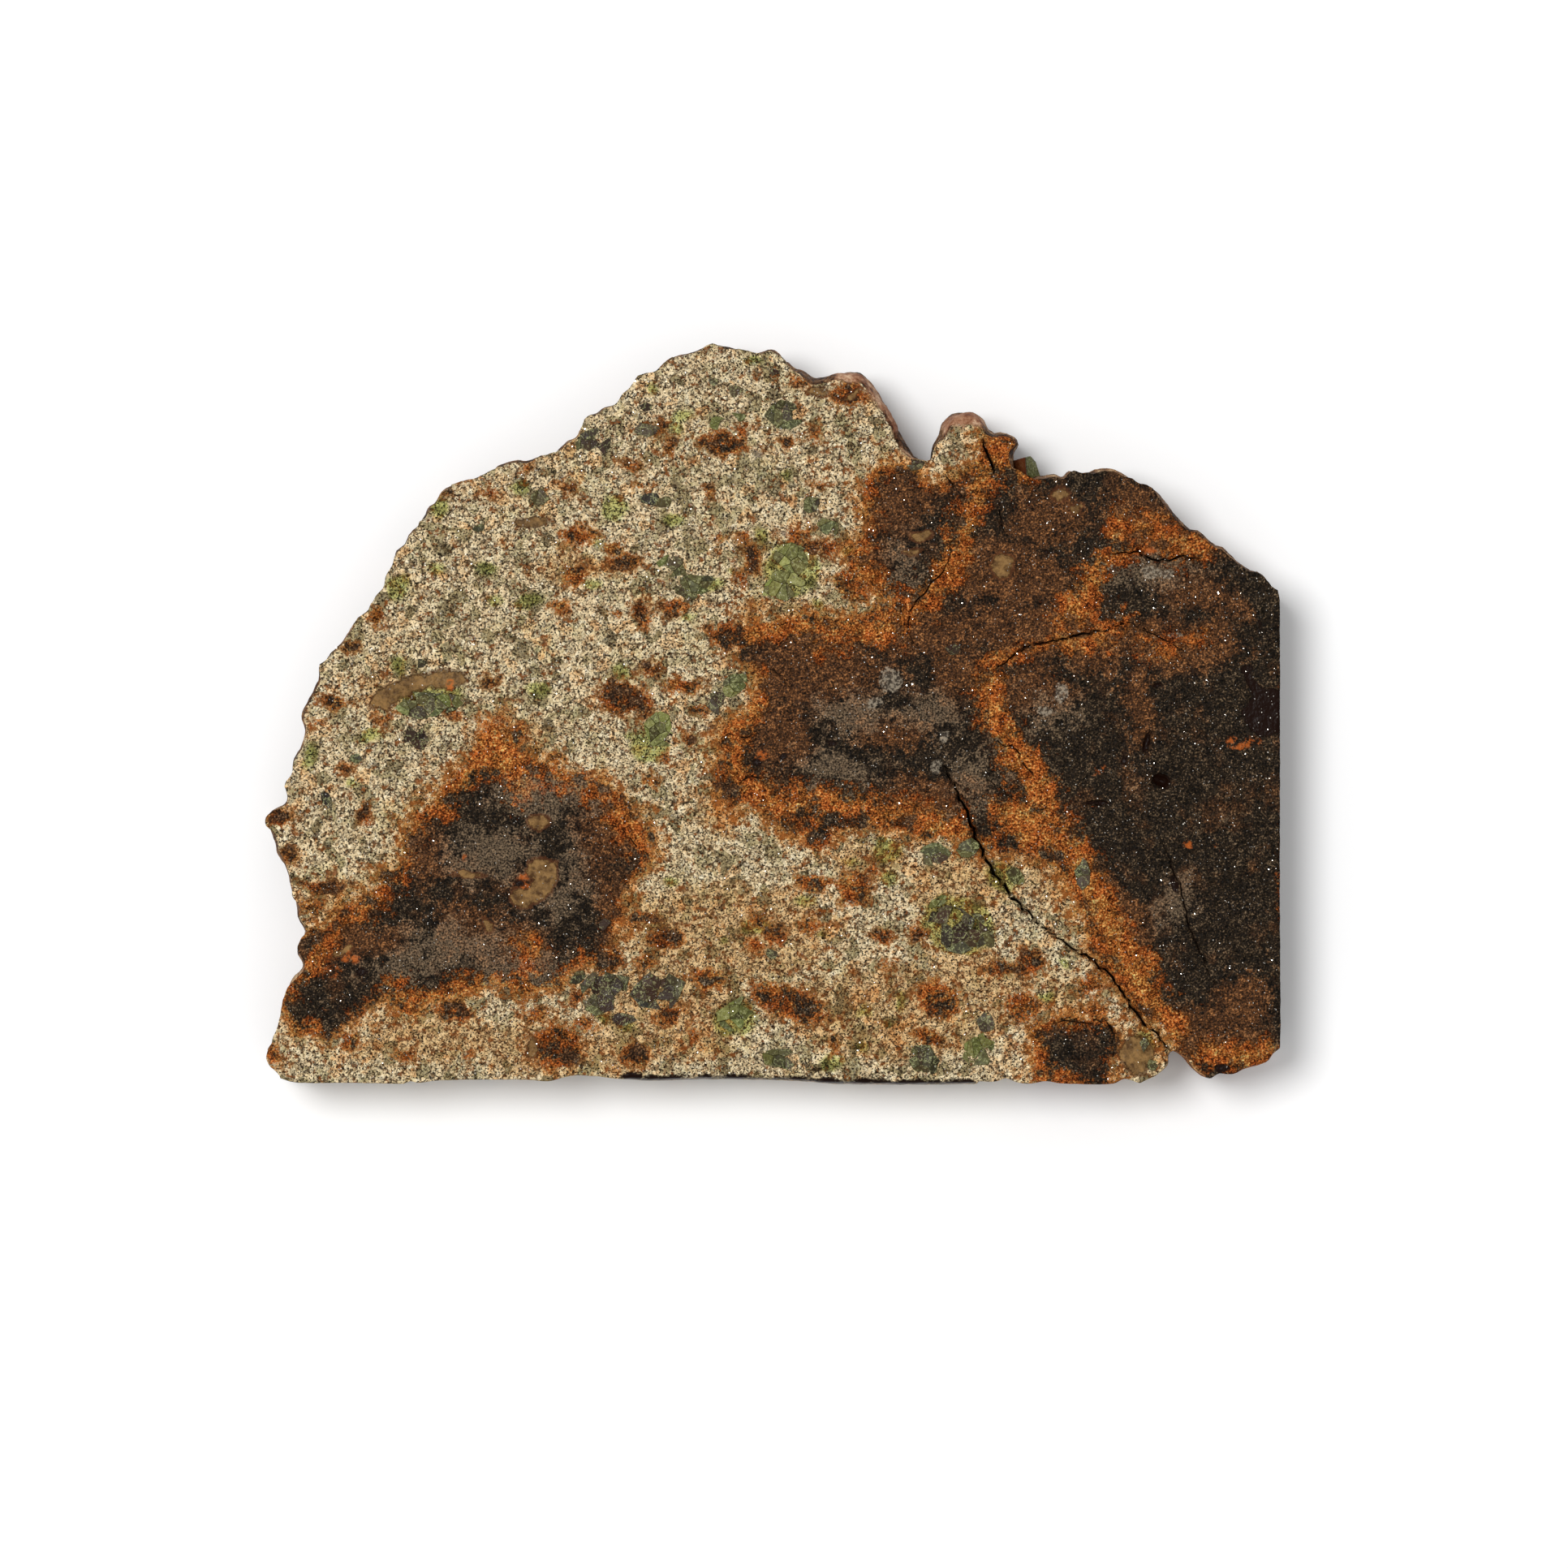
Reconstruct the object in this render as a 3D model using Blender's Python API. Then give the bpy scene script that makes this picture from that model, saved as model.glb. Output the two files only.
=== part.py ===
"""A slice of a coarse stony-iron meteorite, lying on its lower sawn face.

Both faces, the right side and most of the lower side are saw cuts. The left and upper sides keep
the weathered outside of the stone, with a smooth shoulder, two knobs and a broken crystal.
Metres, +Z up. The origin is below the middle of the slice's box, on the surface that it lies on.
"""

import math
from collections import namedtuple

import bmesh
import bpy
import numpy as np
from mathutils import Vector, noise
from mathutils.geometry import interpolate_bezier

# Driving dimensions
WIDTH = 0.080
THICKNESS = 0.008

# Places on the face are read as (across, down) pixels of a picture taken from straight above.
# These are the outermost pixels of the slice there.
LEFT_PX, RIGHT_PX = 327, 1578
TOP_PX, BOTTOM_PX = 423, 1337
PIXEL = WIDTH / (RIGHT_PX - LEFT_PX)

# How far apart the points round a weathered side and along a saw cut are, in pixels
WEATHERED_STEP = 10
SAWN_STEP = 20

# The side, whose levels run from the upper face (0) to the lower one (1)
SIDE_BANDS = 8
WIDEST_LEVEL = 0.42
LEVEL_WANDER = 0.10
LUMP_SIZE = 0.0040
CREASE_SHARPNESS = 2.5

# A stretch of the outline. shoulder and undercut are how far the upper and the lower face stop short
# of the widest line, and lumps is how deep the hollows between its lumps are, all in pixels.
# These three change gradually from one stretch to the next, over a few points to each side.
Stretch = namedtuple("Stretch", "points step shoulder undercut lumps")
SETTINGS_BLEND = 2

LEFT_SIDE = Stretch(
    [
        (345, 1329), (333, 1315), (327, 1298), (335, 1281), (343, 1260), (347, 1240), (355, 1212),
        (361, 1203), (371, 1192), (371, 1186), (364, 1173), (370, 1159), (374, 1148), (365, 1130),
        (365, 1118), (357, 1104), (357, 1094), (350, 1068), (339, 1051), (338, 1040), (327, 1014),
        (329, 1004), (341, 995), (350, 990), (352, 978), (350, 965), (358, 950), (361, 934),
        (370, 919), (374, 899), (370, 882), (378, 862), (391, 838),
    ],
    WEATHERED_STEP, shoulder=5, undercut=15, lumps=13,
)
UPPER_LEFT_SIDE = Stretch(
    [
        (391, 838), (392, 822), (396, 815), (408, 800), (418, 792), (430, 774), (440, 760),
        (453, 750), (463, 735), (472, 725), (476, 708), (482, 698), (488, 678), (498, 669),
        (502, 658), (519, 639), (528, 623), (534, 619), (545, 602), (560, 594), (574, 588),
        (584, 587), (612, 573), (637, 565), (648, 567), (662, 562), (678, 559), (700, 542),
        (708, 538), (716, 527), (722, 514), (735, 508), (745, 501), (760, 496), (768, 484),
        (779, 475), (786, 463), (808, 456), (828, 440), (851, 433), (878, 423), (895, 425),
        (930, 434), (950, 429), (965, 438), (977, 450), (990, 455),
    ],
    WEATHERED_STEP, shoulder=4, undercut=15, lumps=13,
)
SMOOTH_SHOULDER = Stretch(
    [
        (990, 455), (1003, 463), (1014, 462), (1040, 457), (1060, 458), (1071, 467), (1083, 482),
        (1094, 502), (1113, 538), (1126, 560),
    ],
    WEATHERED_STEP, shoulder=15, undercut=12, lumps=4,
)
ROUND_NOTCH = Stretch(
    [(1126, 560), (1137, 566), (1146, 566), (1149, 551), (1157, 535)],
    WEATHERED_STEP, shoulder=3, undercut=6, lumps=3,
)
KNOB = Stretch(
    [(1157, 535), (1160, 523), (1174, 508), (1195, 506), (1211, 514), (1219, 528)],
    WEATHERED_STEP, shoulder=15, undercut=14, lumps=4,
)
SMALL_KNOB = Stretch(
    [(1219, 528), (1226, 532), (1234, 530), (1252, 537), (1256, 546), (1250, 558), (1252, 574)],
    WEATHERED_STEP, shoulder=10, undercut=12, lumps=4,
)
UPPER_RIGHT_SIDE = Stretch(
    [
        (1252, 574), (1264, 585), (1283, 585), (1300, 583), (1310, 586), (1319, 578), (1334, 583),
        (1350, 578), (1372, 576), (1402, 594), (1420, 601), (1433, 612), (1450, 634), (1468, 651),
        (1477, 652), (1500, 671), (1508, 673), (1524, 688), (1542, 701), (1550, 703), (1566, 719),
        (1576, 726),
    ],
    WEATHERED_STEP, shoulder=5, undercut=16, lumps=13,
)
RIGHT_CUT = Stretch(
    [(1576, 726), (1577, 740), (1577, 1100), (1578, 1292)],
    SAWN_STEP, shoulder=0, undercut=0, lumps=0,
)
BROKEN_CORNER = Stretch(
    [
        (1578, 1292), (1570, 1300), (1560, 1309), (1532, 1318), (1522, 1323), (1503, 1324),
        (1490, 1330), (1470, 1317), (1458, 1303), (1446, 1296), (1441, 1301), (1440, 1313),
        (1425, 1327), (1405, 1336),
    ],
    WEATHERED_STEP, shoulder=3, undercut=10, lumps=5,
)
LOWER_RIGHT_CUT = Stretch(
    [
        (1405, 1336), (1386, 1330), (1372, 1336), (1310, 1336), (1290, 1333), (1268, 1336),
        (1252, 1334), (1239, 1329), (1228, 1333), (1207, 1334),
    ],
    SAWN_STEP, shoulder=1, undercut=1, lumps=0,
)
# The face stops a little short of the body along here, which leaves a thin dark ledge below it.
LEDGE_CUT = Stretch(
    [(1207, 1334), (1204, 1337), (1030, 1337), (980, 1333), (870, 1331), (800, 1333), (765, 1331)],
    SAWN_STEP, shoulder=5, undercut=0, lumps=0,
)
LOWER_LEFT_CUT = Stretch(
    [
        (765, 1331), (735, 1327), (704, 1326), (675, 1333), (650, 1331), (540, 1332), (515, 1335),
        (505, 1333), (497, 1336), (445, 1335), (375, 1335), (361, 1334), (345, 1329),
    ],
    SAWN_STEP, shoulder=1, undercut=1, lumps=0,
)
OUTLINE = (
    LEFT_SIDE, UPPER_LEFT_SIDE, SMOOTH_SHOULDER, ROUND_NOTCH, KNOB, SMALL_KNOB, UPPER_RIGHT_SIDE,
    RIGHT_CUT, BROKEN_CORNER, LOWER_RIGHT_CUT, LEDGE_CUT, LOWER_LEFT_CUT,
)

# Open cracks in the upper face: their lines, with their widths in pixels and their depths.
# Each is a trough that starts at a share of its width and depth, and has both in full half-way along.
Crack = namedtuple("Crack", "name points width depth")
CRACK_START = 0.35
TROUGH_TOP_LEVEL = -0.1
CRACKS = (
    Crack(
        "main_crack",
        [
            (1141, 890), (1157, 929), (1172, 960), (1193, 1006), (1213, 1055), (1234, 1086),
            (1253, 1111), (1279, 1137), (1322, 1168), (1352, 1188), (1375, 1210), (1400, 1249),
            (1419, 1268), (1442, 1291), (1449, 1306),
        ],
        width=7, depth=0.0024,
    ),
    Crack(
        "upper_crack",
        [(1366, 683), (1376, 681), (1404, 681), (1418, 688), (1440, 690), (1452, 686), (1484, 687)],
        width=4, depth=0.0010,
    ),
    Crack(
        "middle_crack",
        [(1221, 831), (1240, 815), (1259, 801), (1291, 791), (1349, 779), (1390, 767)],
        width=4, depth=0.0008,
    ),
    Crack("knob_crack", [(1212, 543), (1216, 558), (1220, 569), (1225, 582)], width=5, depth=0.0016),
)

# Pits in the upper face: centre, length and width in pixels, the turn of the length in degrees.
# Their walls go in and out by a share of their size, with this many swells to a half width.
Pit = namedtuple("Pit", "name centre length width turn depth")
PIT_ROUGHNESS = 0.25
PIT_SWELLS = 1.5
PITS = (
    Pit("glossy_pit", (1430, 962), 26, 18, turn=-20, depth=0.0007),
    Pit("red_pit", (1413, 914), 36, 14, turn=75, depth=0.0005),
    Pit("long_pit", (1352, 989), 40, 13, turn=-4, depth=0.0005),
    Pit("small_pit", (1425, 845), 16, 11, turn=0, depth=0.0004),
    Pit("edge_pit", (502, 768), 22, 13, turn=30, depth=0.0004),
    Pit("corner_pit", (466, 1288), 30, 9, turn=-50, depth=0.0005),
    Pit("knob_pit", (1179, 553), 26, 8, turn=-5, depth=0.0007),
)

# The broken crystal beside the small knob: its corners, in pixels and levels from the upper face
CRYSTAL_CORNERS = (
    (1264, 563, 0.22), (1268, 596, 0.14), (1251, 566, 0.34), (1248, 596, 0.28), (1270, 561, 0.45),
    (1277, 567, 0.58), (1284, 586, 0.62), (1284, 600, 0.50), (1254, 567, 0.85), (1281, 584, 0.88),
    (1262, 600, 0.90),
)


def place(across, down, level=0.0):
    """A point in metres from picture pixels and a level from the upper face (0) to the lower (1)."""
    middle_across = (LEFT_PX + RIGHT_PX) / 2
    middle_down = (TOP_PX + BOTTOM_PX) / 2
    return Vector(
        (
            (across - middle_across) * PIXEL,
            (middle_down - down) * PIXEL,
            (1 - level) * THICKNESS,
        )
    )


def curve_through(points, step):
    """Points about a step apart on a smooth curve through the given ones, without the last."""
    knots = [Vector(point) for point in points]
    ends = [knots[0], *knots, knots[-1]]
    tangents = [(after - before).normalized() for before, after in zip(ends, ends[2:])]
    curve = []
    for i, (start, end) in enumerate(zip(knots, knots[1:])):
        length = (end - start).length
        pieces = max(1, round(length / step))
        out_handle = start + tangents[i] * length / 3
        in_handle = end - tangents[i + 1] * length / 3
        curve += interpolate_bezier(start, out_handle, in_handle, end, pieces + 1)[:-1]
    return curve


def evened(values, passes):
    """The values round a loop, each pass averaging every one with its two neighbours."""
    for _ in range(passes):
        values = (np.roll(values, 1) + values + np.roll(values, -1)) / 3
    return values


def outline_samples():
    """Round the widest line: points in pixels, their inward directions, and shoulder, undercut, lumps."""
    points = []
    settings = []
    for stretch in OUTLINE:
        curve = curve_through(stretch.points, stretch.step)
        points += curve
        settings += [(stretch.shoulder, stretch.undercut, stretch.lumps)] * len(curve)
    points = np.array(points)
    along = np.roll(points, -1, axis=0) - np.roll(points, 1, axis=0)
    along /= np.linalg.norm(along, axis=1)[:, None]
    inward = np.column_stack((-along[:, 1], along[:, 0]))
    blended = [evened(column, SETTINGS_BLEND) for column in np.array(settings, float).T]
    return points, inward, blended


def inset(across, down, level, shoulder, undercut, lumps):
    """How far the side lies inside the outline at a level, in pixels."""
    if level < WIDEST_LEVEL:
        roll = 1 - level / WIDEST_LEVEL
        edge = shoulder
    else:
        roll = (level - WIDEST_LEVEL) / (1 - WIDEST_LEVEL)
        edge = undercut
    rounded = 1 - math.sqrt(1 - roll**2)
    # Creases run between round lumps, and fade out where the side meets a face.
    swell = abs(noise.noise(place(across, down, level) / LUMP_SIZE))
    crease = max(0, 1 - CREASE_SHARPNESS * swell)
    fade = math.sqrt(max(0, math.sin(math.pi * level)))
    return edge * rounded + lumps * crease * fade


def side_rings():
    """The loops of points where the side passes its levels, from the upper face down, in metres."""
    points, inward, settings = outline_samples()
    levels = [band / SIDE_BANDS for band in range(SIDE_BANDS + 1)]
    rings = [[] for _ in levels]
    for point, direction, shoulder, undercut, lumps in zip(points, inward, *settings):
        depths = [inset(*point, level, shoulder, undercut, lumps) for level in levels]
        wander = LEVEL_WANDER * noise.noise(place(*point) / (2 * LUMP_SIZE))
        for ring, level, depth in zip(rings, levels, depths):
            # The furthest level reaches the outline, whatever the lumps there do.
            across, down = point + direction * (depth - min(depths))
            ring.append(place(across, down, level + wander * math.sin(math.pi * level)))
    return rings


def stone_mesh():
    """The slice before its cracks and pits: rings of the side joined, and a flat face on each end."""
    mesh = bpy.data.meshes.new("meteorite_slice")
    shape = bmesh.new()
    rings = [[shape.verts.new(point) for point in ring] for ring in side_rings()]
    for upper, lower in zip(rings, rings[1:]):
        for i, corner in enumerate(upper):
            shape.faces.new((upper[i - 1], corner, lower[i], lower[i - 1]))
    faces = [shape.faces.new(rings[0][::-1]), shape.faces.new(rings[-1])]
    shape.normal_update()
    bmesh.ops.triangulate(shape, faces=faces, ngon_method="BEAUTY")
    bmesh.ops.recalc_face_normals(shape, faces=shape.faces)
    shape.to_mesh(mesh)
    shape.free()
    return mesh


def crack_mesh(crack):
    """A V-shaped trough along the crack, narrow at its first end, that stands out above the face."""
    mesh = bpy.data.meshes.new(crack.name)
    shape = bmesh.new()
    line = curve_through(crack.points, 2 * WEATHERED_STEP) + [Vector(crack.points[-1])]
    sections = []
    for i, point in enumerate(line):
        along = (line[min(i + 1, len(line) - 1)] - line[max(i - 1, 0)]).normalized()
        across = Vector((-along.y, along.x))
        opened = min(1, CRACK_START + 2 * i / len(line))
        half = across * crack.width / 2 * opened
        bottom_level = crack.depth / THICKNESS * opened
        # The walls keep their slope above the face, so the trough has its stated width at the face.
        flare = 1 - TROUGH_TOP_LEVEL / bottom_level
        corners = (
            place(*(point - half * flare), TROUGH_TOP_LEVEL),
            place(*(point + half * flare), TROUGH_TOP_LEVEL),
            place(*point, bottom_level),
        )
        sections.append([shape.verts.new(corner) for corner in corners])
    for section, following in zip(sections, sections[1:]):
        for i in range(3):
            shape.faces.new((section[i - 1], section[i], following[i], following[i - 1]))
    shape.faces.new(sections[0])
    shape.faces.new(sections[-1])
    bmesh.ops.recalc_face_normals(shape, faces=shape.faces)
    shape.to_mesh(mesh)
    shape.free()
    return mesh


def pit_mesh(pit):
    """A rough bowl, whose rim is the stated oval on the upper face."""
    mesh = bpy.data.meshes.new(pit.name)
    shape = bmesh.new()
    bmesh.ops.create_icosphere(shape, subdivisions=2, radius=1)
    turn = math.radians(pit.turn)
    centre = place(*pit.centre)
    for vert in shape.verts:
        # The pit's own place moves the swells, so no two pits are alike.
        rough = 1 + PIT_ROUGHNESS * noise.noise(vert.co * PIT_SWELLS + centre / PIXEL)
        across = vert.co.x * rough * pit.length / 2 * PIXEL
        up = vert.co.y * rough * pit.width / 2 * PIXEL
        vert.co = centre + Vector(
            (
                across * math.cos(turn) - up * math.sin(turn),
                across * math.sin(turn) + up * math.cos(turn),
                vert.co.z * rough * pit.depth,
            )
        )
    shape.to_mesh(mesh)
    shape.free()
    return mesh


def crystal_mesh():
    """The broken crystal, flat faces between its corners."""
    mesh = bpy.data.meshes.new("broken_crystal")
    shape = bmesh.new()
    for across, down, level in CRYSTAL_CORNERS:
        shape.verts.new(place(across, down, level))
    bmesh.ops.convex_hull(shape, input=shape.verts)
    bmesh.ops.recalc_face_normals(shape, faces=shape.faces)
    shape.to_mesh(mesh)
    shape.free()
    return mesh


def combine(stone, mesh, operation):
    """Cuts the mesh's shape out of the stone, or joins it on."""
    tool = bpy.data.objects.new(mesh.name, mesh)
    bpy.context.collection.objects.link(tool)
    tool.hide_render = True
    tool.display_type = "WIRE"
    step = stone.modifiers.new(mesh.name, "BOOLEAN")
    step.operation = operation
    step.solver = "EXACT"
    step.object = tool


def stone_material():
    """Rough rusty tan, the stone's colour as a whole."""
    material = bpy.data.materials.new("stone")
    material.use_nodes = True
    shader = material.node_tree.nodes["Principled BSDF"]
    shader.inputs["Base Color"].default_value = (0.22, 0.14, 0.08, 1)
    shader.inputs["Roughness"].default_value = 0.7
    shader.inputs["Metallic"].default_value = 0.0
    return material


def main():
    for thing in list(bpy.data.objects):
        bpy.data.objects.remove(thing)
    stone = bpy.data.objects.new("meteorite_slice", stone_mesh())
    bpy.context.collection.objects.link(stone)
    stone.data.materials.append(stone_material())
    combine(stone, crystal_mesh(), "UNION")
    for crack in CRACKS:
        combine(stone, crack_mesh(crack), "DIFFERENCE")
    for pit in PITS:
        combine(stone, pit_mesh(pit), "DIFFERENCE")


main()
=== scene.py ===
"""The looks of the lodranite meteorite slice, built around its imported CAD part.

The slice lies on its lower sawn face, and the camera looks straight down on the upper one. One closed
skin stands for the whole stone. Its relief holds the grains, the cracks and the pits, and the values
kept at its points say which mineral is where. Crystals, raised grains and metal flecks are set into it.
"""

import math
from collections import namedtuple

import bpy
import numpy as np
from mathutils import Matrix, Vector, noise
from mathutils.geometry import delaunay_2d_cdt, interpolate_bezier


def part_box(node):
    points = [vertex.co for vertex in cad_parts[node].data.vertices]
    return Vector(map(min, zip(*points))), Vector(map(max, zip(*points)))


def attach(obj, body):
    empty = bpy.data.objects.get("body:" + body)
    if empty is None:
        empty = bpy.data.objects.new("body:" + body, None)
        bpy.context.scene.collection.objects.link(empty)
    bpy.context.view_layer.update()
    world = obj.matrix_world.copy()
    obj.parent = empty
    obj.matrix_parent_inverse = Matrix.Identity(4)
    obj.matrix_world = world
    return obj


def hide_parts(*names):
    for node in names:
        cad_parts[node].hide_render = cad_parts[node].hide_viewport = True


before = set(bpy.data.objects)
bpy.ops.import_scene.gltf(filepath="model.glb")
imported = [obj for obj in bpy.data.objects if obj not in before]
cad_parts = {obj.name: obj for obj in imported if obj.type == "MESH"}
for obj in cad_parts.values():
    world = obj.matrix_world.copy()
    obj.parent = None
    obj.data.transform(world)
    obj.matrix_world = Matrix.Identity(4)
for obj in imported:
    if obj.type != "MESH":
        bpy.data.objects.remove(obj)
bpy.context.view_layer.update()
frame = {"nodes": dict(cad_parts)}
NODE = next(iter(frame["nodes"]))
LOWEST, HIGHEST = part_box(NODE)
WIDTH = HIGHEST.x - LOWEST.x
THICKNESS = HIGHEST.z - LOWEST.z

# Without a seed of its own, the noise that shifts points differs from run to run.
NOISE_SEED = 1
noise.seed_set(NOISE_SEED)

# Places on the face are read as (across, down) pixels of a picture of this size, taken from straight
# above. These are the outermost pixels of the slice there.
PICTURE_PX = 1932
LEFT_PX, RIGHT_PX = 327, 1578
TOP_PX, BOTTOM_PX = 423, 1337
PIXEL = WIDTH / (RIGHT_PX - LEFT_PX)
MIDDLE_PX = ((LEFT_PX + RIGHT_PX) / 2, (TOP_PX + BOTTOM_PX) / 2)

# How far apart the skin's points are: along the rim and over the faces in pixels, and bands of the side
RIM_STEP = 4
FACE_STEP = 3.9
UNDERSIDE_STEP = 15
SIDE_BANDS = 18

# The side, whose levels run from the upper face (0) to the lower one (1)
WIDEST_LEVEL = 0.42
LEVEL_WANDER = 0.10
LUMP_SIZE = 0.0040
CREASE_SHARPNESS = 2.5

# A stretch of the outline. shoulder and undercut are how far the upper and the lower face stop short
# of the widest line, and lumps is how deep the hollows between its lumps are, all in pixels.
# weathered says how much of the stone's old outside the stretch keeps.
Stretch = namedtuple("Stretch", "points shoulder undercut lumps weathered")
SETTINGS_BLEND = 6
INWARD_BLEND = 14

LEFT_SIDE = Stretch(
    [
        (345, 1329), (333, 1315), (327, 1298), (335, 1281), (343, 1260), (347, 1240), (355, 1212),
        (361, 1203), (371, 1192), (371, 1186), (364, 1173), (370, 1159), (374, 1148), (365, 1130),
        (365, 1118), (357, 1104), (357, 1094), (350, 1068), (339, 1051), (338, 1040), (327, 1014),
        (329, 1004), (341, 995), (350, 990), (352, 978), (350, 965), (358, 950), (361, 934),
        (370, 919), (374, 899), (370, 882), (378, 862), (391, 838),
    ],
    shoulder=5, undercut=15, lumps=13, weathered=1,
)
UPPER_LEFT_SIDE = Stretch(
    [
        (391, 838), (392, 822), (396, 815), (408, 800), (418, 792), (430, 774), (440, 760),
        (453, 750), (463, 735), (472, 725), (476, 708), (482, 698), (488, 678), (498, 669),
        (502, 658), (519, 639), (528, 623), (534, 619), (545, 602), (560, 594), (574, 588),
        (584, 587), (612, 573), (637, 565), (648, 567), (662, 562), (678, 559), (700, 542),
        (708, 538), (716, 527), (722, 514), (735, 508), (745, 501), (760, 496), (768, 484),
        (779, 475), (786, 463), (808, 456), (828, 440), (851, 433), (878, 423), (895, 425),
        (930, 434), (950, 429), (965, 438), (977, 450), (990, 455),
    ],
    shoulder=4, undercut=15, lumps=13, weathered=1,
)
SMOOTH_SHOULDER = Stretch(
    [
        (990, 455), (1003, 463), (1014, 462), (1040, 457), (1060, 458), (1071, 467), (1083, 482),
        (1094, 502), (1113, 538), (1126, 560),
    ],
    shoulder=15, undercut=12, lumps=4, weathered=1,
)
ROUND_NOTCH = Stretch(
    [(1126, 560), (1137, 566), (1146, 566), (1149, 551), (1157, 535)],
    shoulder=3, undercut=6, lumps=3, weathered=1,
)
KNOB = Stretch(
    [(1157, 535), (1160, 523), (1174, 508), (1195, 506), (1211, 514), (1219, 528)],
    shoulder=15, undercut=14, lumps=4, weathered=1,
)
SMALL_KNOB = Stretch(
    [(1219, 528), (1226, 532), (1234, 530), (1252, 537), (1256, 546), (1250, 558), (1252, 574)],
    shoulder=10, undercut=12, lumps=4, weathered=1,
)
UPPER_RIGHT_SIDE = Stretch(
    [
        (1252, 574), (1264, 585), (1283, 585), (1300, 583), (1310, 586), (1319, 578), (1334, 583),
        (1350, 578), (1372, 576), (1402, 594), (1420, 601), (1433, 612), (1450, 634), (1468, 651),
        (1477, 652), (1500, 671), (1508, 673), (1524, 688), (1542, 701), (1550, 703), (1566, 719),
        (1576, 726),
    ],
    shoulder=5, undercut=16, lumps=13, weathered=1,
)
RIGHT_CUT = Stretch(
    [(1576, 726), (1577, 740), (1577, 1100), (1578, 1292)],
    shoulder=0, undercut=0, lumps=0, weathered=0,
)
BROKEN_CORNER = Stretch(
    [
        (1578, 1292), (1570, 1300), (1560, 1309), (1532, 1318), (1522, 1323), (1503, 1324),
        (1490, 1330), (1470, 1317), (1458, 1303), (1446, 1296), (1441, 1301), (1440, 1313),
        (1425, 1327), (1405, 1336),
    ],
    shoulder=3, undercut=10, lumps=5, weathered=0.4,
)
LOWER_RIGHT_CUT = Stretch(
    [
        (1405, 1336), (1386, 1330), (1372, 1336), (1310, 1336), (1290, 1333), (1268, 1336),
        (1252, 1334), (1239, 1329), (1228, 1333), (1207, 1334),
    ],
    shoulder=1, undercut=1, lumps=0, weathered=0,
)
# The face stops a little short of the body along here, which leaves a thin dark ledge below it.
LEDGE_CUT = Stretch(
    [(1207, 1334), (1204, 1337), (1030, 1337), (980, 1333), (870, 1331), (800, 1333), (765, 1331)],
    shoulder=5, undercut=0, lumps=0, weathered=0.44,
)
LOWER_LEFT_CUT = Stretch(
    [
        (765, 1331), (735, 1327), (704, 1326), (675, 1333), (650, 1331), (540, 1332), (515, 1335),
        (505, 1333), (497, 1336), (445, 1335), (375, 1335), (361, 1334), (345, 1329),
    ],
    shoulder=1, undercut=1, lumps=0, weathered=0,
)
OUTLINE = (
    LEFT_SIDE, UPPER_LEFT_SIDE, SMOOTH_SHOULDER, ROUND_NOTCH, KNOB, SMALL_KNOB, UPPER_RIGHT_SIDE,
    RIGHT_CUT, BROKEN_CORNER, LOWER_RIGHT_CUT, LEDGE_CUT, LOWER_LEFT_CUT,
)

# Cracks in the upper face: their lines, their widths in pixels and their depths in metres. The first
# four are open ones that the CAD part has too, and the rest are hair-thin.
Crack = namedtuple("Crack", "points width depth")
CRACK_END = 0.3
CRACK_STEP = 6
CRACK_JAG = 2.0
CRACKS = (
    Crack(
        [
            (1160, 936), (1172, 960), (1193, 1006), (1213, 1055), (1234, 1086),
            (1253, 1111), (1279, 1137), (1300, 1152),
        ],
        width=4.6, depth=0.0024,
    ),
    Crack(
        [(1279, 1137), (1322, 1168), (1352, 1188), (1375, 1210), (1400, 1249), (1419, 1268), (1446, 1300)],
        width=4, depth=0.0018,
    ),
    Crack(
        [(1366, 683), (1376, 681), (1404, 681), (1418, 688), (1440, 690), (1452, 686), (1484, 687)],
        width=3.5, depth=0.0010,
    ),
    Crack([(1221, 831), (1240, 815), (1259, 801), (1291, 791), (1349, 779), (1390, 767)], 3.5, 0.0008),
    Crack([(1212, 543), (1216, 558), (1220, 569), (1225, 582)], width=5, depth=0.0016),
    Crack([(1173, 667), (1164, 702), (1132, 737), (1119, 772), (1132, 801)], 2.5, 0.0004),
    Crack([(1162, 585), (1171, 593), (1178, 602)], 2.5, 0.0004),
    Crack([(1231, 622), (1233, 640), (1237, 654)], 2.5, 0.0004),
    Crack([(1222, 905), (1235, 917), (1250, 922), (1258, 935), (1265, 946), (1280, 968)], 2.5, 0.0004),
    Crack([(1210, 953), (1222, 965), (1235, 975), (1250, 985), (1257, 991)], 2, 0.0003),
    Crack([(1390, 767), (1408, 775), (1436, 789), (1455, 800)], 2.5, 0.0004),
    Crack([(1432, 1037), (1457, 1101), (1468, 1151), (1486, 1189), (1496, 1210)], 3, 0.0004),
    Crack([(738, 1017), (760, 1020), (775, 1031), (790, 1048), (802, 1053)], 2, 0.0002),
    Crack([(893, 906), (912, 908), (935, 903)], 2, 0.0002),
    Crack([(885, 968), (905, 965), (925, 957), (948, 962)], 2, 0.0002),
    Crack([(1292, 1262), (1312, 1256), (1338, 1260), (1362, 1258), (1371, 1272), (1372, 1300)], 2.5, 0.0003),
    Crack([(562, 618), (556, 630), (550, 642)], 2.5, 0.0003),
    Crack([(943, 818), (958, 830), (972, 846)], 2, 0.0002),
)

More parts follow.
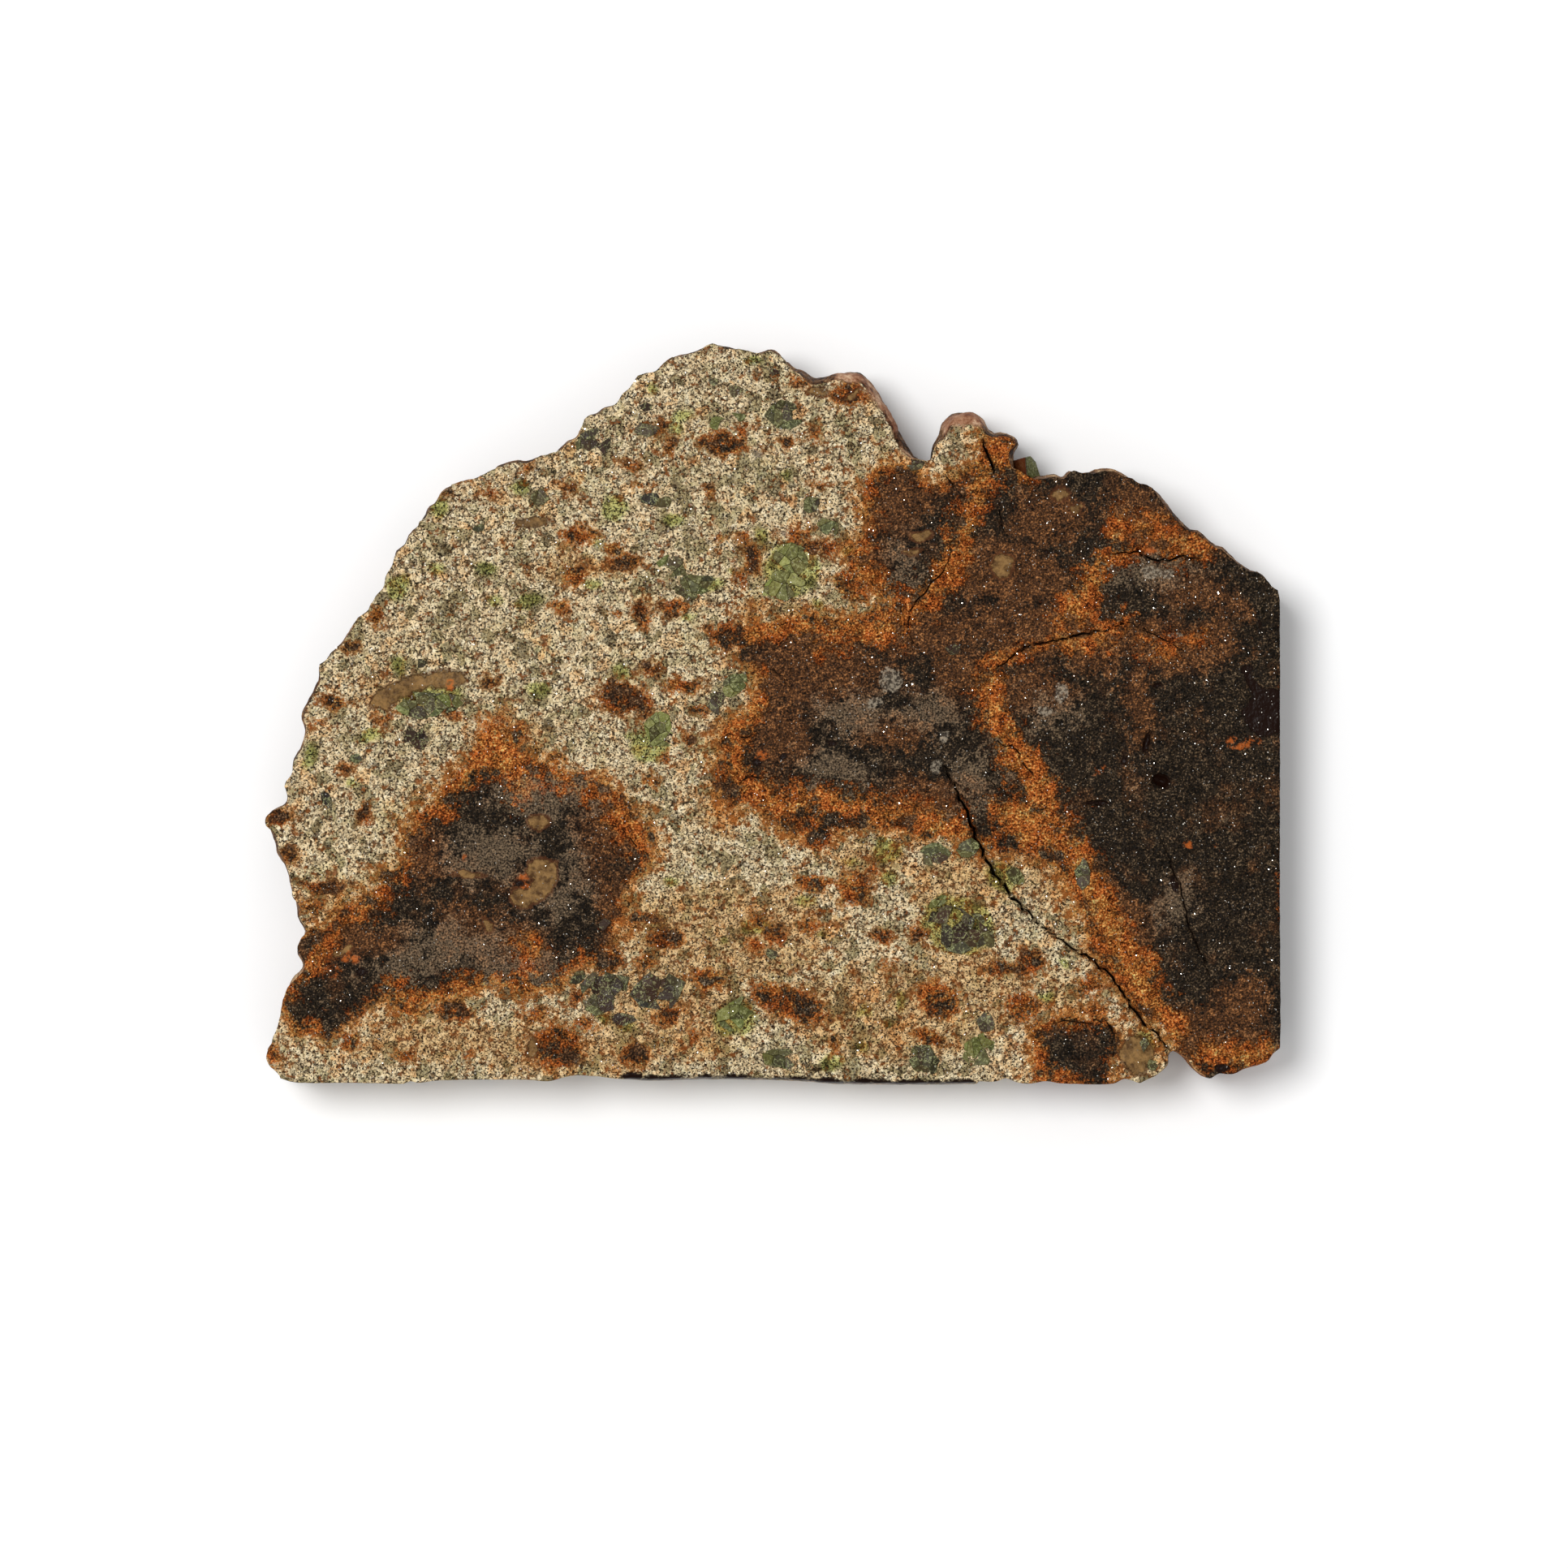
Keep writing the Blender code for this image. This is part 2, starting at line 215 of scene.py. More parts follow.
# Pits in the upper face: centre, length and width in pixels, the turn of the length in degrees, depth.
Pit = namedtuple("Pit", "centre length width turn depth")
PITS = (
    Pit((1430, 962), 24, 16, turn=-20, depth=0.0007),
    Pit((1413, 914), 30, 8, turn=75, depth=0.0004),
    Pit((1352, 989), 32, 7, turn=-4, depth=0.0003),
    Pit((1425, 845), 14, 9, turn=0, depth=0.0003),
    Pit((502, 768), 22, 13, turn=30, depth=0.0004),
    Pit((466, 1288), 30, 9, turn=-50, depth=0.0005),
    Pit((1179, 553), 26, 8, turn=-5, depth=0.0007),
)

# Where the minerals are. A zone is a closed outline, and a spot is (across, down, length, width, turn)
# with the turn in degrees, anticlockwise.
RUST_ZONES = (
    # The large mass on the right, with the knob above it
    [
        (1056, 592), (1075, 574), (1125, 574), (1150, 588), (1182, 590), (1205, 560), (1212, 535),
        (1240, 520), (1270, 545), (1290, 556), (1350, 550), (1405, 568), (1455, 606), (1515, 646),
        (1610, 700), (1610, 1310), (1560, 1345), (1490, 1345), (1450, 1297),
        (1400, 1250), (1362, 1200), (1338, 1165), (1332, 1118), (1310, 1085), (1280, 1060),
        (1250, 1046), (1232, 1054), (1195, 1042), (1140, 1028), (1075, 1014), (1040, 1022),
        (1010, 1038), (985, 1025), (950, 1004), (895, 998), (880, 960), (888, 905), (914, 870), (930, 835), (905, 800), (890, 778),
        (930, 765), (985, 754), (1040, 760), (1102, 738), (1062, 722), (1038, 700), (1050, 672),
        (1072, 650), (1062, 612),
    ],
    # The nodule on the left, which reaches the left side
    [
        (360, 1165), (395, 1140), (425, 1112), (458, 1094), (494, 1062), (500, 1012), (536, 978),
        (568, 944), (584, 915), (595, 882), (622, 882), (640, 912), (662, 930), (700, 948),
        (745, 965), (785, 1000), (803, 1042), (795, 1072), (772, 1100), (775, 1140), (745, 1165),
        (712, 1195), (680, 1218), (640, 1226), (600, 1212), (550, 1235), (505, 1244), (470, 1228),
        (425, 1262), (398, 1280), (360, 1276), (345, 1235), (352, 1200),
    ],
    # The block at the lower edge
    [(1272, 1262), (1300, 1248), (1360, 1252), (1378, 1275), (1374, 1345), (1262, 1345), (1268, 1300)],
)

# Bands of fresh rust through the dark masses and along their edges: their lines and widths
Band = namedtuple("Band", "points width")
RUST_BANDS = (
    Band([(1222, 560), (1198, 600), (1194, 640), (1178, 684), (1146, 724), (1122, 752), (1112, 775)], 28),
    Band([(1215, 545), (1240, 555), (1262, 590)], 26),
    Band([(1228, 838), (1226, 868), (1240, 905), (1262, 945), (1284, 985), (1312, 1030)], 30),
    Band([(1245, 1005), (1322, 1046), (1344, 1100), (1374, 1150), (1404, 1205), (1440, 1270)], 38),
    Band([(1055, 596), (1050, 640), (1062, 700), (1100, 735)], 22),
    Band([(1370, 652), (1420, 646), (1480, 676)], 18),
    Band([(608, 885), (618, 930), (652, 962)], 44),
    Band([(1238, 815), (1262, 802), (1300, 792), (1350, 780), (1395, 770)], 14),
    Band([(1318, 755), (1345, 735), (1352, 712)], 30),
    Band([(1360, 686), (1385, 678), (1420, 678), (1480, 686)], 13),
    Band([(1410, 785), (1440, 800), (1470, 795)], 16),
    Band([(1480, 1300), (1520, 1308), (1562, 1298)], 24),
    Band([(925, 780), (985, 770), (1050, 775), (1100, 768)], 34),
    Band([(912, 870), (902, 920), (905, 965), (960, 990), (1050, 992), (1120, 1000), (1190, 1024)], 32),
    Band([(585, 890), (600, 930), (570, 960), (530, 984)], 26),
    Band([(690, 955), (750, 985), (790, 1040)], 24),
    Band([(360, 1200), (395, 1175), (430, 1135), (476, 1085)], 20),
    Band([(640, 1220), (655, 1190), (652, 1160)], 18),
)

# Small rusty patches, each brown at heart with an orange edge
RUSTY_SPOTS = (
    (895, 547, 46, 30, -15), (915, 530, 22, 16, 0), (868, 545, 16, 11, 0), (825, 553, 13, 17, 0),
    (778, 575, 17, 11, 0), (813, 528, 16, 11, 20), (985, 660, 28, 20, 0), (1000, 674, 18, 16, 0),
    (1024, 676, 18, 18, 0), (917, 662, 16, 12, 0), (926, 690, 17, 34, 0), (912, 712, 18, 20, 0),
    (830, 748, 34, 18, 5), (788, 752, 20, 18, 0), (797, 766, 14, 12, 0), (760, 757, 12, 9, 0),
    (712, 660, 42, 24, 0), (755, 676, 22, 16, 0), (772, 692, 34, 18, 0), (706, 712, 30, 24, 0),
    (893, 782, 44, 30, 0), (1010, 596, 13, 11, 0), (1050, 722, 54, 32, -35), (1046, 486, 44, 30, 0),
    (985, 468, 22, 11, 0), (690, 748, 24, 18, 0), (432, 797, 14, 9, 0), (464, 760, 20, 24, 0),
    (410, 864, 32, 20, 0), (478, 884, 28, 11, 25), (765, 860, 52, 40, 0), (795, 866, 20, 32, 0),
    (840, 846, 42, 22, 0), (803, 825, 17, 14, 0), (606, 842, 16, 13, 0), (425, 947, 12, 8, 0),
    (448, 1004, 14, 24, 0), (390, 889, 16, 11, 0), (358, 1056, 18, 12, 0), (398, 1092, 42, 14, 0),
    (385, 1118, 30, 18, 0), (344, 1008, 26, 20, 0), (376, 1246, 40, 44, 0), (335, 1300, 26, 28, 0),
    (440, 1246, 32, 13, 0), (560, 1246, 42, 20, -15), (574, 1300, 15, 12, 0), (430, 1285, 30, 22, 0),
    (500, 1300, 26, 16, 0), (682, 1290, 66, 56, 0), (780, 1300, 38, 26, 0), (722, 1262, 30, 16, 0),
    (745, 1182, 42, 30, 0), (795, 1186, 22, 15, 0), (822, 1158, 52, 22, 0), (871, 1208, 36, 32, 0),
    (826, 1252, 34, 18, 20), (712, 1230, 18, 15, 0), (855, 1274, 17, 28, 0), (860, 875, 17, 11, 0),
    (846, 912, 14, 13, 0), (818, 934, 11, 9, 0), (803, 962, 20, 15, 0), (717, 955, 16, 12, 0),
    (683, 936, 22, 18, 0), (790, 1130, 30, 14, 0), (930, 1165, 26, 16, 0), (956, 1154, 26, 24, 0),
    (1000, 1140, 26, 15, 0), (930, 1133, 16, 12, 0), (972, 1236, 96, 40, -22), (1052, 1096, 42, 42, 0),
    (1002, 1088, 50, 20, -10), (1008, 1032, 34, 34, 0), (1046, 1008, 58, 24, 0), (1156, 1230, 60, 44, -25),
    (1142, 1276, 40, 19, -20), (1270, 1187, 36, 28, 0), (1233, 1193, 28, 15, 0), (1087, 1156, 26, 20, 0),
    (1132, 1150, 22, 15, 0), (1028, 1290, 11, 18, 0), (1262, 1240, 44, 40, 0), (1342, 1214, 28, 26, 0),
    (1350, 1245, 30, 14, 0), (650, 577, 12, 8, 0), (575, 590, 12, 8, 0), (545, 606, 12, 8, 0),
    (604, 606, 14, 9, 0), (700, 602, 13, 9, 0), (787, 600, 16, 10, 0), (1078, 1072, 14, 10, 0),
    (1004, 536, 10, 12, 0), (972, 545, 22, 8, 0), (873, 608, 13, 10, 0), (888, 660, 12, 10, 0),
    (1180, 508, 16, 8, 0), (1212, 562, 22, 34, 0), (1238, 548, 26, 22, 0), (660, 1250, 26, 18, 0),
    (560, 878, 14, 10, 0), (595, 892, 18, 16, 0), (640, 905, 20, 26, 0), (1090, 1190, 12, 10, 0),
)

# Yellowish stain in the pale stone
OCHRE_SPOTS = (
    (1292, 1078, 110, 90, -40), (985, 748, 150, 40, 0), (1400, 1292, 80, 80, 0), (660, 1290, 150, 90, 0),
    (760, 1290, 120, 80, 0), (1240, 1040, 90, 50, -30), (460, 1290, 120, 50, 0), (1050, 1060, 140, 60, 0),
    (880, 1000, 60, 90, 0), (800, 1130, 120, 60, 0), (1200, 1200, 160, 90, -20), (640, 900, 110, 60, 0),
    (1100, 560, 60, 30, -30), (930, 690, 50, 80, 0), (480, 850, 110, 60, 0), (700, 700, 120, 50, 0),
    (1310, 1225, 120, 60, -40), (870, 1240, 110, 90, 0), (1160, 620, 40, 60, 0), (400, 1110, 90, 60, 0),
    (900, 1150, 300, 140, 0), (1100, 1250, 300, 130, 0), (1180, 1090, 160, 110, 0), (540, 1280, 240, 80, 0),
    (820, 1250, 200, 150, 0),
)

# Places in the dark masses that are rust-brown instead of charcoal
BROWN_SPOTS = (
    (1010, 830, 170, 80, 0), (962, 900, 60, 110, 0), (1120, 615, 90, 46, 0), (1290, 850, 80, 60, 0),
    (1405, 860, 40, 110, 0), (1470, 1275, 150, 60, 0), (1535, 1240, 60, 80, 0), (1425, 645, 150, 60, -20),
    (1490, 800, 90, 50, 0), (1160, 975, 120, 44, 0), (1375, 1120, 50, 100, 30), (530, 1062, 44, 70, 0),
    (738, 1030, 60, 90, 0), (455, 1160, 90, 40, 10), (620, 1165, 120, 50, 0), (750, 1120, 40, 70, 0),
    (1250, 710, 140, 80, 0), (1290, 640, 90, 60, 0), (1265, 775, 140, 70, 0), (1085, 690, 50, 34, 0),
    (1180, 830, 60, 70, 0), (1480, 730, 120, 44, -20), (1100, 905, 90, 40, 0), (1145, 785, 120, 66, 0),
    (1355, 800, 80, 50, 0), (1425, 795, 90, 60, 0), (575, 1145, 80, 60, 0), (1100, 640, 60, 60, 0),
)

# Tan mineral, smooth and plain
TAN_ZONES = (
    [
        (652, 1063), (668, 1060), (685, 1062), (685, 1082), (676, 1098), (664, 1106), (654, 1116),
        (640, 1118), (631, 1106), (632, 1097), (650, 1096), (656, 1086), (651, 1074),
    ],
    [
        (452, 868), (468, 850), (486, 838), (512, 833), (536, 830), (552, 826), (573, 831),
        (575, 842), (556, 848), (530, 846), (506, 851), (490, 863), (478, 873), (462, 873),
    ],
)
TAN_SPOTS = (
    (663, 1013, 24, 17, 10), (578, 1078, 36, 6, 0), (1134, 661, 24, 11, 10), (1126, 681, 22, 10, 0),
    (1236, 697, 26, 30, 0), (1305, 608, 18, 15, 0), (1326, 626, 13, 11, 0), (600, 1140, 11, 18, 25),
    (418, 1174, 30, 8, 22), (655, 643, 38, 11, 5), (1010, 482, 20, 10, 0), (1052, 486, 24, 7, 30),
    (655, 1290, 12, 30, 0), (1400, 1300, 40, 46, 0),
)

# Bare metal, and softer parts of the dark stone that hold a lot of grey dust of it
METAL_SPOTS = (
    (1096, 837, 30, 28, 0), (1080, 865, 19, 13, 0), (1308, 853, 19, 28, 0), (1163, 906, 15, 15, 0),
    (1155, 944, 14, 20, 0), (1419, 705, 24, 12, 0), (1438, 706, 14, 12, 0), (1370, 697, 10, 8, 0),
    (1288, 876, 26, 13, 0), (1445, 782, 17, 8, 0), (930, 560, 11, 8, 0), (967, 656, 9, 9, 0),
)
GREY_SPOTS = (
    (688, 1102, 60, 52, 0), (704, 1050, 34, 56, 0), (600, 1050, 110, 60, 0), (665, 985, 120, 50, 0),
    (560, 1165, 130, 60, 0), (500, 1190, 80, 40, 0), (1050, 880, 64, 50, 0), (1195, 960, 60, 70, 0),
    (1150, 880, 60, 40, 0), (1030, 945, 90, 40, 0), (1450, 1115, 30, 50, 0), (1420, 705, 90, 32, 0),
    (1300, 880, 50, 40, 0), (1110, 690, 30, 50, 0), (640, 1190, 120, 30, 0), (617, 890, 14, 12, 0),
)

# Bright orange-red rust
RED_SPOTS = (
    (646, 1088, 14, 11, 0), (432, 1181, 20, 9, 0), (408, 1197, 22, 11, 20), (1531, 916, 30, 13, 15),
    (1518, 914, 7, 9, 0), (938, 932, 10, 12, 0), (556, 842, 7, 9, 0), (1463, 1043, 7, 6, 0),
    (1496, 1041, 6, 6, 0), (1355, 947, 9, 6, 20), (572, 1057, 6, 6, 0), (1407, 679, 20, 7, 0),
)

# Black-red glaze, and a black band painted along the lower ledge as its shadow
GLAZE_AND_LEDGE_SHADE_ZONES = (
    [
        (1524, 822), (1536, 818), (1544, 822), (1543, 838), (1556, 852), (1580, 846), (1580, 906),
        (1552, 908), (1536, 892), (1530, 874), (1542, 858), (1534, 838),
    ],
    # Painted shadow: a black band along the ledge on the lower side, given the glaze's colour
    [(765, 1325), (870, 1324), (980, 1327), (1030, 1330), (1204, 1330), (1207, 1345), (765, 1345)],
)
GLOSS_SPOTS = (
    (1430, 962, 26, 18, -20), (1413, 914, 32, 7, 75), (1352, 989, 34, 7, -4), (1425, 845, 14, 8, 0),
    (1553, 772, 6, 22, 20), (1385, 935, 7, 12, 0), (640, 1089, 12, 6, 0), (935, 940, 14, 8, 0),
    (966, 932, 16, 6, 0), (1025, 917, 16, 6, 0), (1290, 682, 8, 12, 0), (1448, 1090, 8, 22, 20),
    (447, 1196, 14, 8, 0), (1506, 1317, 18, 12, 0), (1502, 888, 4, 14, 0),
)

# Smooth weathered skin on the face's own edges
SMOOTH_ZONES = (
    [
        (1000, 455), (1060, 450), (1085, 470), (1135, 560), (1118, 562), (1095, 522), (1078, 492),
        (1062, 474), (1030, 468),
    ],
    [
        (1150, 530), (1160, 500), (1200, 498), (1225, 515), (1225, 532), (1205, 524), (1180, 522),
        (1164, 536),
    ],
)

# Greenish parts of the pale stone, whose crystals are too small to tell apart
GREEN_SPOTS = (
    (1024, 1308, 34, 26, 0), (742, 1254, 28, 14, -40), (772, 1266, 26, 11, 10), (1110, 1232, 16, 30, 0),
    (1066, 1246, 22, 16, 0), (1092, 1048, 37, 34, 0), (1095, 1082, 24, 20, 0), (757, 628, 36, 35, 0),
    (766, 828, 26, 22, 0), (663, 848, 34, 24, 0), (491, 818, 18, 28, -10), (540, 626, 26, 30, -20),
    (803, 478, 17, 14, 0), (832, 641, 32, 18, 0), (641, 601, 26, 24, 0), (456, 905, 30, 18, 10),
    (433, 965, 15, 14, 0), (1180, 610, 20, 18, 0), (1045, 681, 22, 18, 0), (940, 660, 20, 23, 0),
    (970, 583, 15, 15, 0), (490, 724, 28, 36, -20), (826, 1086, 21, 13, 0), (776, 906, 15, 10, 0),
    (789, 915, 16, 9, -30), (921, 1148, 19, 12, 0), (891, 1160, 15, 10, 0), (383, 932, 18, 38, -15),
    (840, 512, 34, 18, 10), (834, 527, 22, 18, 0), (735, 668, 16, 14, 0), (848, 760, 22, 12, 0),
    (727, 720, 30, 16, 0), (900, 705, 14, 12, 0), (1006, 745, 22, 16, 0), (1310, 1185, 22, 12, -30),
    (1290, 1228, 30, 18, 0), (1012, 1152, 18, 12, 0), (1095, 1262, 16, 12, 0), (1060, 1290, 22, 16, 0),
    (1047, 1062, 20, 12, 0), (610, 740, 20, 16, 0), (540, 700, 22, 16, 0), (930, 445, 28, 12, 0),
    (1235, 1080, 50, 34, -45), (1180, 1140, 96, 74, -20), (975, 702, 74, 74, 0), (800, 920, 50, 40, 0),
    (530, 856, 90, 30, 4), (905, 1256, 60, 44, 20), (1408, 1290, 30, 50, 0), (990, 1110, 30, 16, 0),
    (880, 720, 30, 20, 0), (650, 740, 40, 20, 0), (600, 700, 34, 20, 0), (930, 1140, 40, 22, 0),
)

# Crystals: centre, length, width, turn, and colour from charcoal green (0) through green to pale (1)
Crystal = namedtuple("Crystal", "across down length width turn hue")
CRYSTAL_REACH = (0.86, 1.26)
CRYSTALS = [
    Crystal(*values)
    for values in (
        (976, 690, 46, 34, -35, 0.80), (966, 722, 54, 36, 5, 0.72), (830, 698, 40, 26, -10, 0.45),
        (855, 722, 48, 27, 12, 0.42), (812, 900, 36, 44, 20, 0.62), (906, 844, 34, 26, 30, 0.55),
        (888, 866, 30, 28, 0, 0.12), (965, 511, 42, 34, 0, 0.30), (731, 546, 48, 34, 15, 0.22),
        (526, 868, 74, 32, 4, 0.40), (511, 911, 34, 44, 0, -0.30), (905, 1250, 50, 34, 25, 0.62),
        (962, 1304, 42, 24, -8, 0.38), (1136, 1305, 40, 36, -40, 0.42), (1206, 1294, 42, 34, 30, 0.52),
        (1182, 1148, 72, 50, -20, 0.14), (1153, 1052, 36, 30, 0, 0.30), (1192, 1045, 27, 22, 0, 0.28),
        (745, 1222, 62, 52, 0, 0.16), (812, 1222, 62, 48, 20, 0.10), (768, 1256, 30, 15, 0, 0.02),
        (1335, 1078, 20, 34, 0, 0.20), (1252, 1080, 26, 18, -45, 0.55), (797, 501, 17, 12, 0, 0.10),
        (818, 618, 22, 14, 0, 0.58), (885, 522, 24, 16, 0, 0.45), (908, 514, 20, 16, 0, 0.62),
        (1128, 572, 25, 14, 0, 0.25), (1000, 622, 20, 23, 0, 0.42), (1021, 649, 27, 18, -20, 0.58),
        (665, 612, 23, 20, 0, 0.36), (951, 1175, 17, 13, 0, 0.30), (745, 1140, 18, 17, 0, 0.04),
        (1215, 1260, 25, 22, 0, 0.22), (1414, 1288, 20, 26, 0, 0.55), (1421, 1312, 16, 14, 0, 0.60),
        (1155, 1112, 26, 12, 25, 0.55), (1219, 1156, 14, 22, 20, 0.50), (1206, 1130, 22, 9, -40, 0.62),
        (797, 528, 30, 22, 0, 0.30), (905, 481, 18, 14, 0, 0.34), (801, 615, 22, 16, 0, 0.08),
        (402, 984, 12, 22, 20, 0.05), (516, 818, 22, 12, 0, 0.25), (955, 458, 13, 9, 0, 0.05),
        (438, 934, 16, 12, 0, 0.24), (1175, 800, 20, 14, 0, 0.14), (712, 1205, 20, 16, 40, 0.36),
        (590, 650, 14, 10, 0, 0.40), (880, 470, 13, 10, 0, 0.40),
    )
]


def curve_through(points, step):
    """Points about a step apart on a smooth curve through the given ones, without the last."""
    knots = [Vector(point) for point in points]
    ends = [knots[0], *knots, knots[-1]]
    tangents = [(after - before).normalized() for before, after in zip(ends, ends[2:])]
    curve = []
    for i, (start, end) in enumerate(zip(knots, knots[1:])):
        length = (end - start).length
        pieces = max(1, round(length / step))
        out_handle = start + tangents[i] * length / 3
        in_handle = end - tangents[i + 1] * length / 3
        curve += interpolate_bezier(start, out_handle, in_handle, end, pieces + 1)[:-1]
    return curve


def evened(values, passes):
    """The values round a loop, each pass averaging every one with its two neighbours."""
    for _ in range(passes):
        values = (np.roll(values, 1) + values + np.roll(values, -1)) / 3
    return values


def place(pixels, height):
    """Points in metres from rows of (across, down) pixels and the height of each."""
    across, down = np.asarray(pixels, float).T
    return np.column_stack(
        (
            (across - MIDDLE_PX[0]) * PIXEL,
            (MIDDLE_PX[1] - down) * PIXEL,
            np.broadcast_to(height, across.shape),
        )
    )


def pixels_of(points):
    """The (across, down) pixels of rows of points in metres."""
    return np.column_stack((MIDDLE_PX[0] + points[:, 0] / PIXEL, MIDDLE_PX[1] - points[:, 1] / PIXEL))


def noise_at(points, size, seed=0, octaves=3):
    """Smooth noise from about -1 to 1 at rows of points, with swells about as large as the size."""
    shift = Vector((seed * 17.3, seed * -9.1, seed * 5.7))
    return np.array([noise.fractal(Vector(p) / size + shift, 0.8, 2.1, octaves) for p in points])


# The skin's shape


def outline_samples():
    """Round the widest line: points in pixels, their inward directions, and each one's settings."""
    points = []
    settings = []
    for stretch in OUTLINE:
        curve = curve_through(stretch.points, RIM_STEP)
        points += curve
        settings += [stretch[1:]] * len(curve)
    points = np.array(points)
    along = np.roll(points, -1, axis=0) - np.roll(points, 1, axis=0)
    along /= np.linalg.norm(along, axis=1)[:, None]
    # Where the rim turns sharply the blended directions are shorter, so that the side doesn't fold there.
    inward = np.column_stack((evened(-along[:, 1], INWARD_BLEND), evened(along[:, 0], INWARD_BLEND)))
    blended = np.array([evened(column, SETTINGS_BLEND) for column in np.array(settings, float).T])
    return points, inward, blended


def inset(position, level, shoulder, undercut, lumps):
    """How far the side lies inside the outline at a level, in pixels."""
    if level < WIDEST_LEVEL:
        roll = 1 - level / WIDEST_LEVEL
        edge = shoulder
    else:
        roll = (level - WIDEST_LEVEL) / (1 - WIDEST_LEVEL)
        edge = undercut
    rounded = 1 - math.sqrt(1 - roll**2)
    # Creases run between round lumps, and fade out where the side meets a face.
    swell = abs(noise.noise(Vector(position) / LUMP_SIZE))
    crease = max(0, 1 - CREASE_SHARPNESS * swell)
    fade = math.sqrt(max(0, math.sin(math.pi * level)))
    return edge * rounded + lumps * crease * fade


def side_rings():
    """The loops of points where the side passes its levels, from the upper face down, in metres."""
    points, inward, settings = outline_samples()
    levels = [band / SIDE_BANDS for band in range(SIDE_BANDS + 1)]
    rings = np.empty((len(levels), len(points), 3))
    for i, (point, direction) in enumerate(zip(points, inward)):
        shoulder, undercut, lumps, weathered = settings[:, i]
        where = place([point], 0)[0]
        heights = [(1 - level) * THICKNESS for level in levels]
        depths = [
            inset((where[0], where[1], height), level, shoulder, undercut, lumps)
            for level, height in zip(levels, heights)
        ]
        middle = Vector((where[0], where[1], THICKNESS))
        wander = LEVEL_WANDER * noise.noise(middle / (2 * LUMP_SIZE))
        for k, (level, depth) in enumerate(zip(levels, depths)):
            # The furthest level reaches the outline, whatever the lumps there do.
            spot = point + direction * (depth - min(depths))
            bent = level + wander * math.sin(math.pi * level)
            rings[k, i] = place([spot], (1 - bent) * THICKNESS)[0]
    return rings, inward, settings


SIDE_ROUGHNESS = 1.3
SAWN_SIDE_ROUGHNESS = 0.5


def roughened(rings, inward, settings):
    """The rings with fine lumps, pushed in and out along the inward directions."""
    rough = np.where(settings[3] > 0.5, SIDE_ROUGHNESS, SAWN_SIDE_ROUGHNESS)
    flat = rings.reshape(-1, 3)
    push = noise_at(flat, 0.0009, seed=3).reshape(rings.shape[:2]) * rough * PIXEL
    moved = rings.copy()
    moved[:, :, 0] += push * inward[:, 0]
    moved[:, :, 1] -= push * inward[:, 1]
    return moved


def inside(points, outline):
    """Which of the points lie within a closed outline."""
    within = np.zeros(len(points), bool)
    outline = np.asarray(outline, float)
    for (ax, ay), (bx, by) in zip(outline, np.roll(outline, -1, axis=0)):
        if ay == by:
            continue
        crosses = (ay > points[:, 1]) != (by > points[:, 1])
        within ^= crosses & (points[:, 0] < ax + (points[:, 1] - ay) * (bx - ax) / (by - ay))
    return within


def distance_to_line(points, line):
    """How far each point is from a line of segments, and how far along the line its nearest spot is."""
    line = np.asarray(line, float)
    best = np.full(len(points), np.inf)
    reached = np.zeros(len(points))
    lengths = np.linalg.norm(np.diff(line, axis=0), axis=1)
    before = 0
    for start, end, length in zip(line, line[1:], lengths):
        along = np.clip((points - start) @ (end - start) / length**2, 0, 1)
        distance = np.linalg.norm(points - start - along[:, None] * (end - start), axis=1)
        nearer = distance < best
        best[nearer] = distance[nearer]
        reached[nearer] = before + along[nearer] * length
        before += length
    return best, reached / before


def zone_depth(points, outline):
    """How deep inside a closed outline each point lies, in pixels, and below 0 outside it."""
    closed = [*outline, outline[0]]
    distance, _ = distance_to_line(points, closed)
    return np.where(inside(points, outline), distance, -distance)


def spot_depth(points, spot):
    """How deep inside an oval spot each point lies, in pixels, and below 0 outside it."""
    across, down, length, width, turn = spot
    angle = math.radians(turn)
    away = points - (across, down)
    along = away[:, 0] * math.cos(angle) - away[:, 1] * math.sin(angle)
    aside = away[:, 0] * math.sin(angle) + away[:, 1] * math.cos(angle)
    reach = np.hypot(along / (length / 2), aside / (width / 2))
    return (1 - reach) * math.sqrt(length * width) / 2


def band_depth(points, band):
    """How deep inside a band each point lies, in pixels."""
    distance, _ = distance_to_line(points, band.points)
    return band.width / 2 - distance


def deepest(points, shapes, depth):
    """The largest depth that any of the shapes gives at each point."""
    return np.max([depth(points, shape) for shape in shapes], axis=0)


def crack_lines():
    """Each crack with its line at a close step, jagged as a break between grains is."""
    rng = np.random.default_rng(11)
    lines = []
    for crack in CRACKS:
        line = np.array(curve_through(crack.points, CRACK_STEP) + [Vector(crack.points[-1])])
        line[1:-1] += rng.uniform(-CRACK_JAG, CRACK_JAG, line[1:-1].shape)
        lines.append((crack, line))
    return lines


def crack_opening(points, lines):
    """How far down the cracks go at each point in metres, and how close each is to one (0 to 1)."""
    depth = np.zeros(len(points))
    near = np.zeros(len(points))
    for crack, line in lines:
        distance, along = distance_to_line(points, line)
        opened = opening(along)
        half = crack.width / 2 * opened
        share = np.clip(1 - distance / half, 0, 1)
        depth = np.maximum(depth, crack.depth * opened * np.sqrt(share))
        near = np.maximum(near, np.clip(1.2 - distance / half, 0, 1))
    return depth, near


def opening(along):
    """The share of a crack's full width at a share of its length."""
    return np.clip(CRACK_END + 2.5 * np.minimum(along, 1 - along), 0, 1)


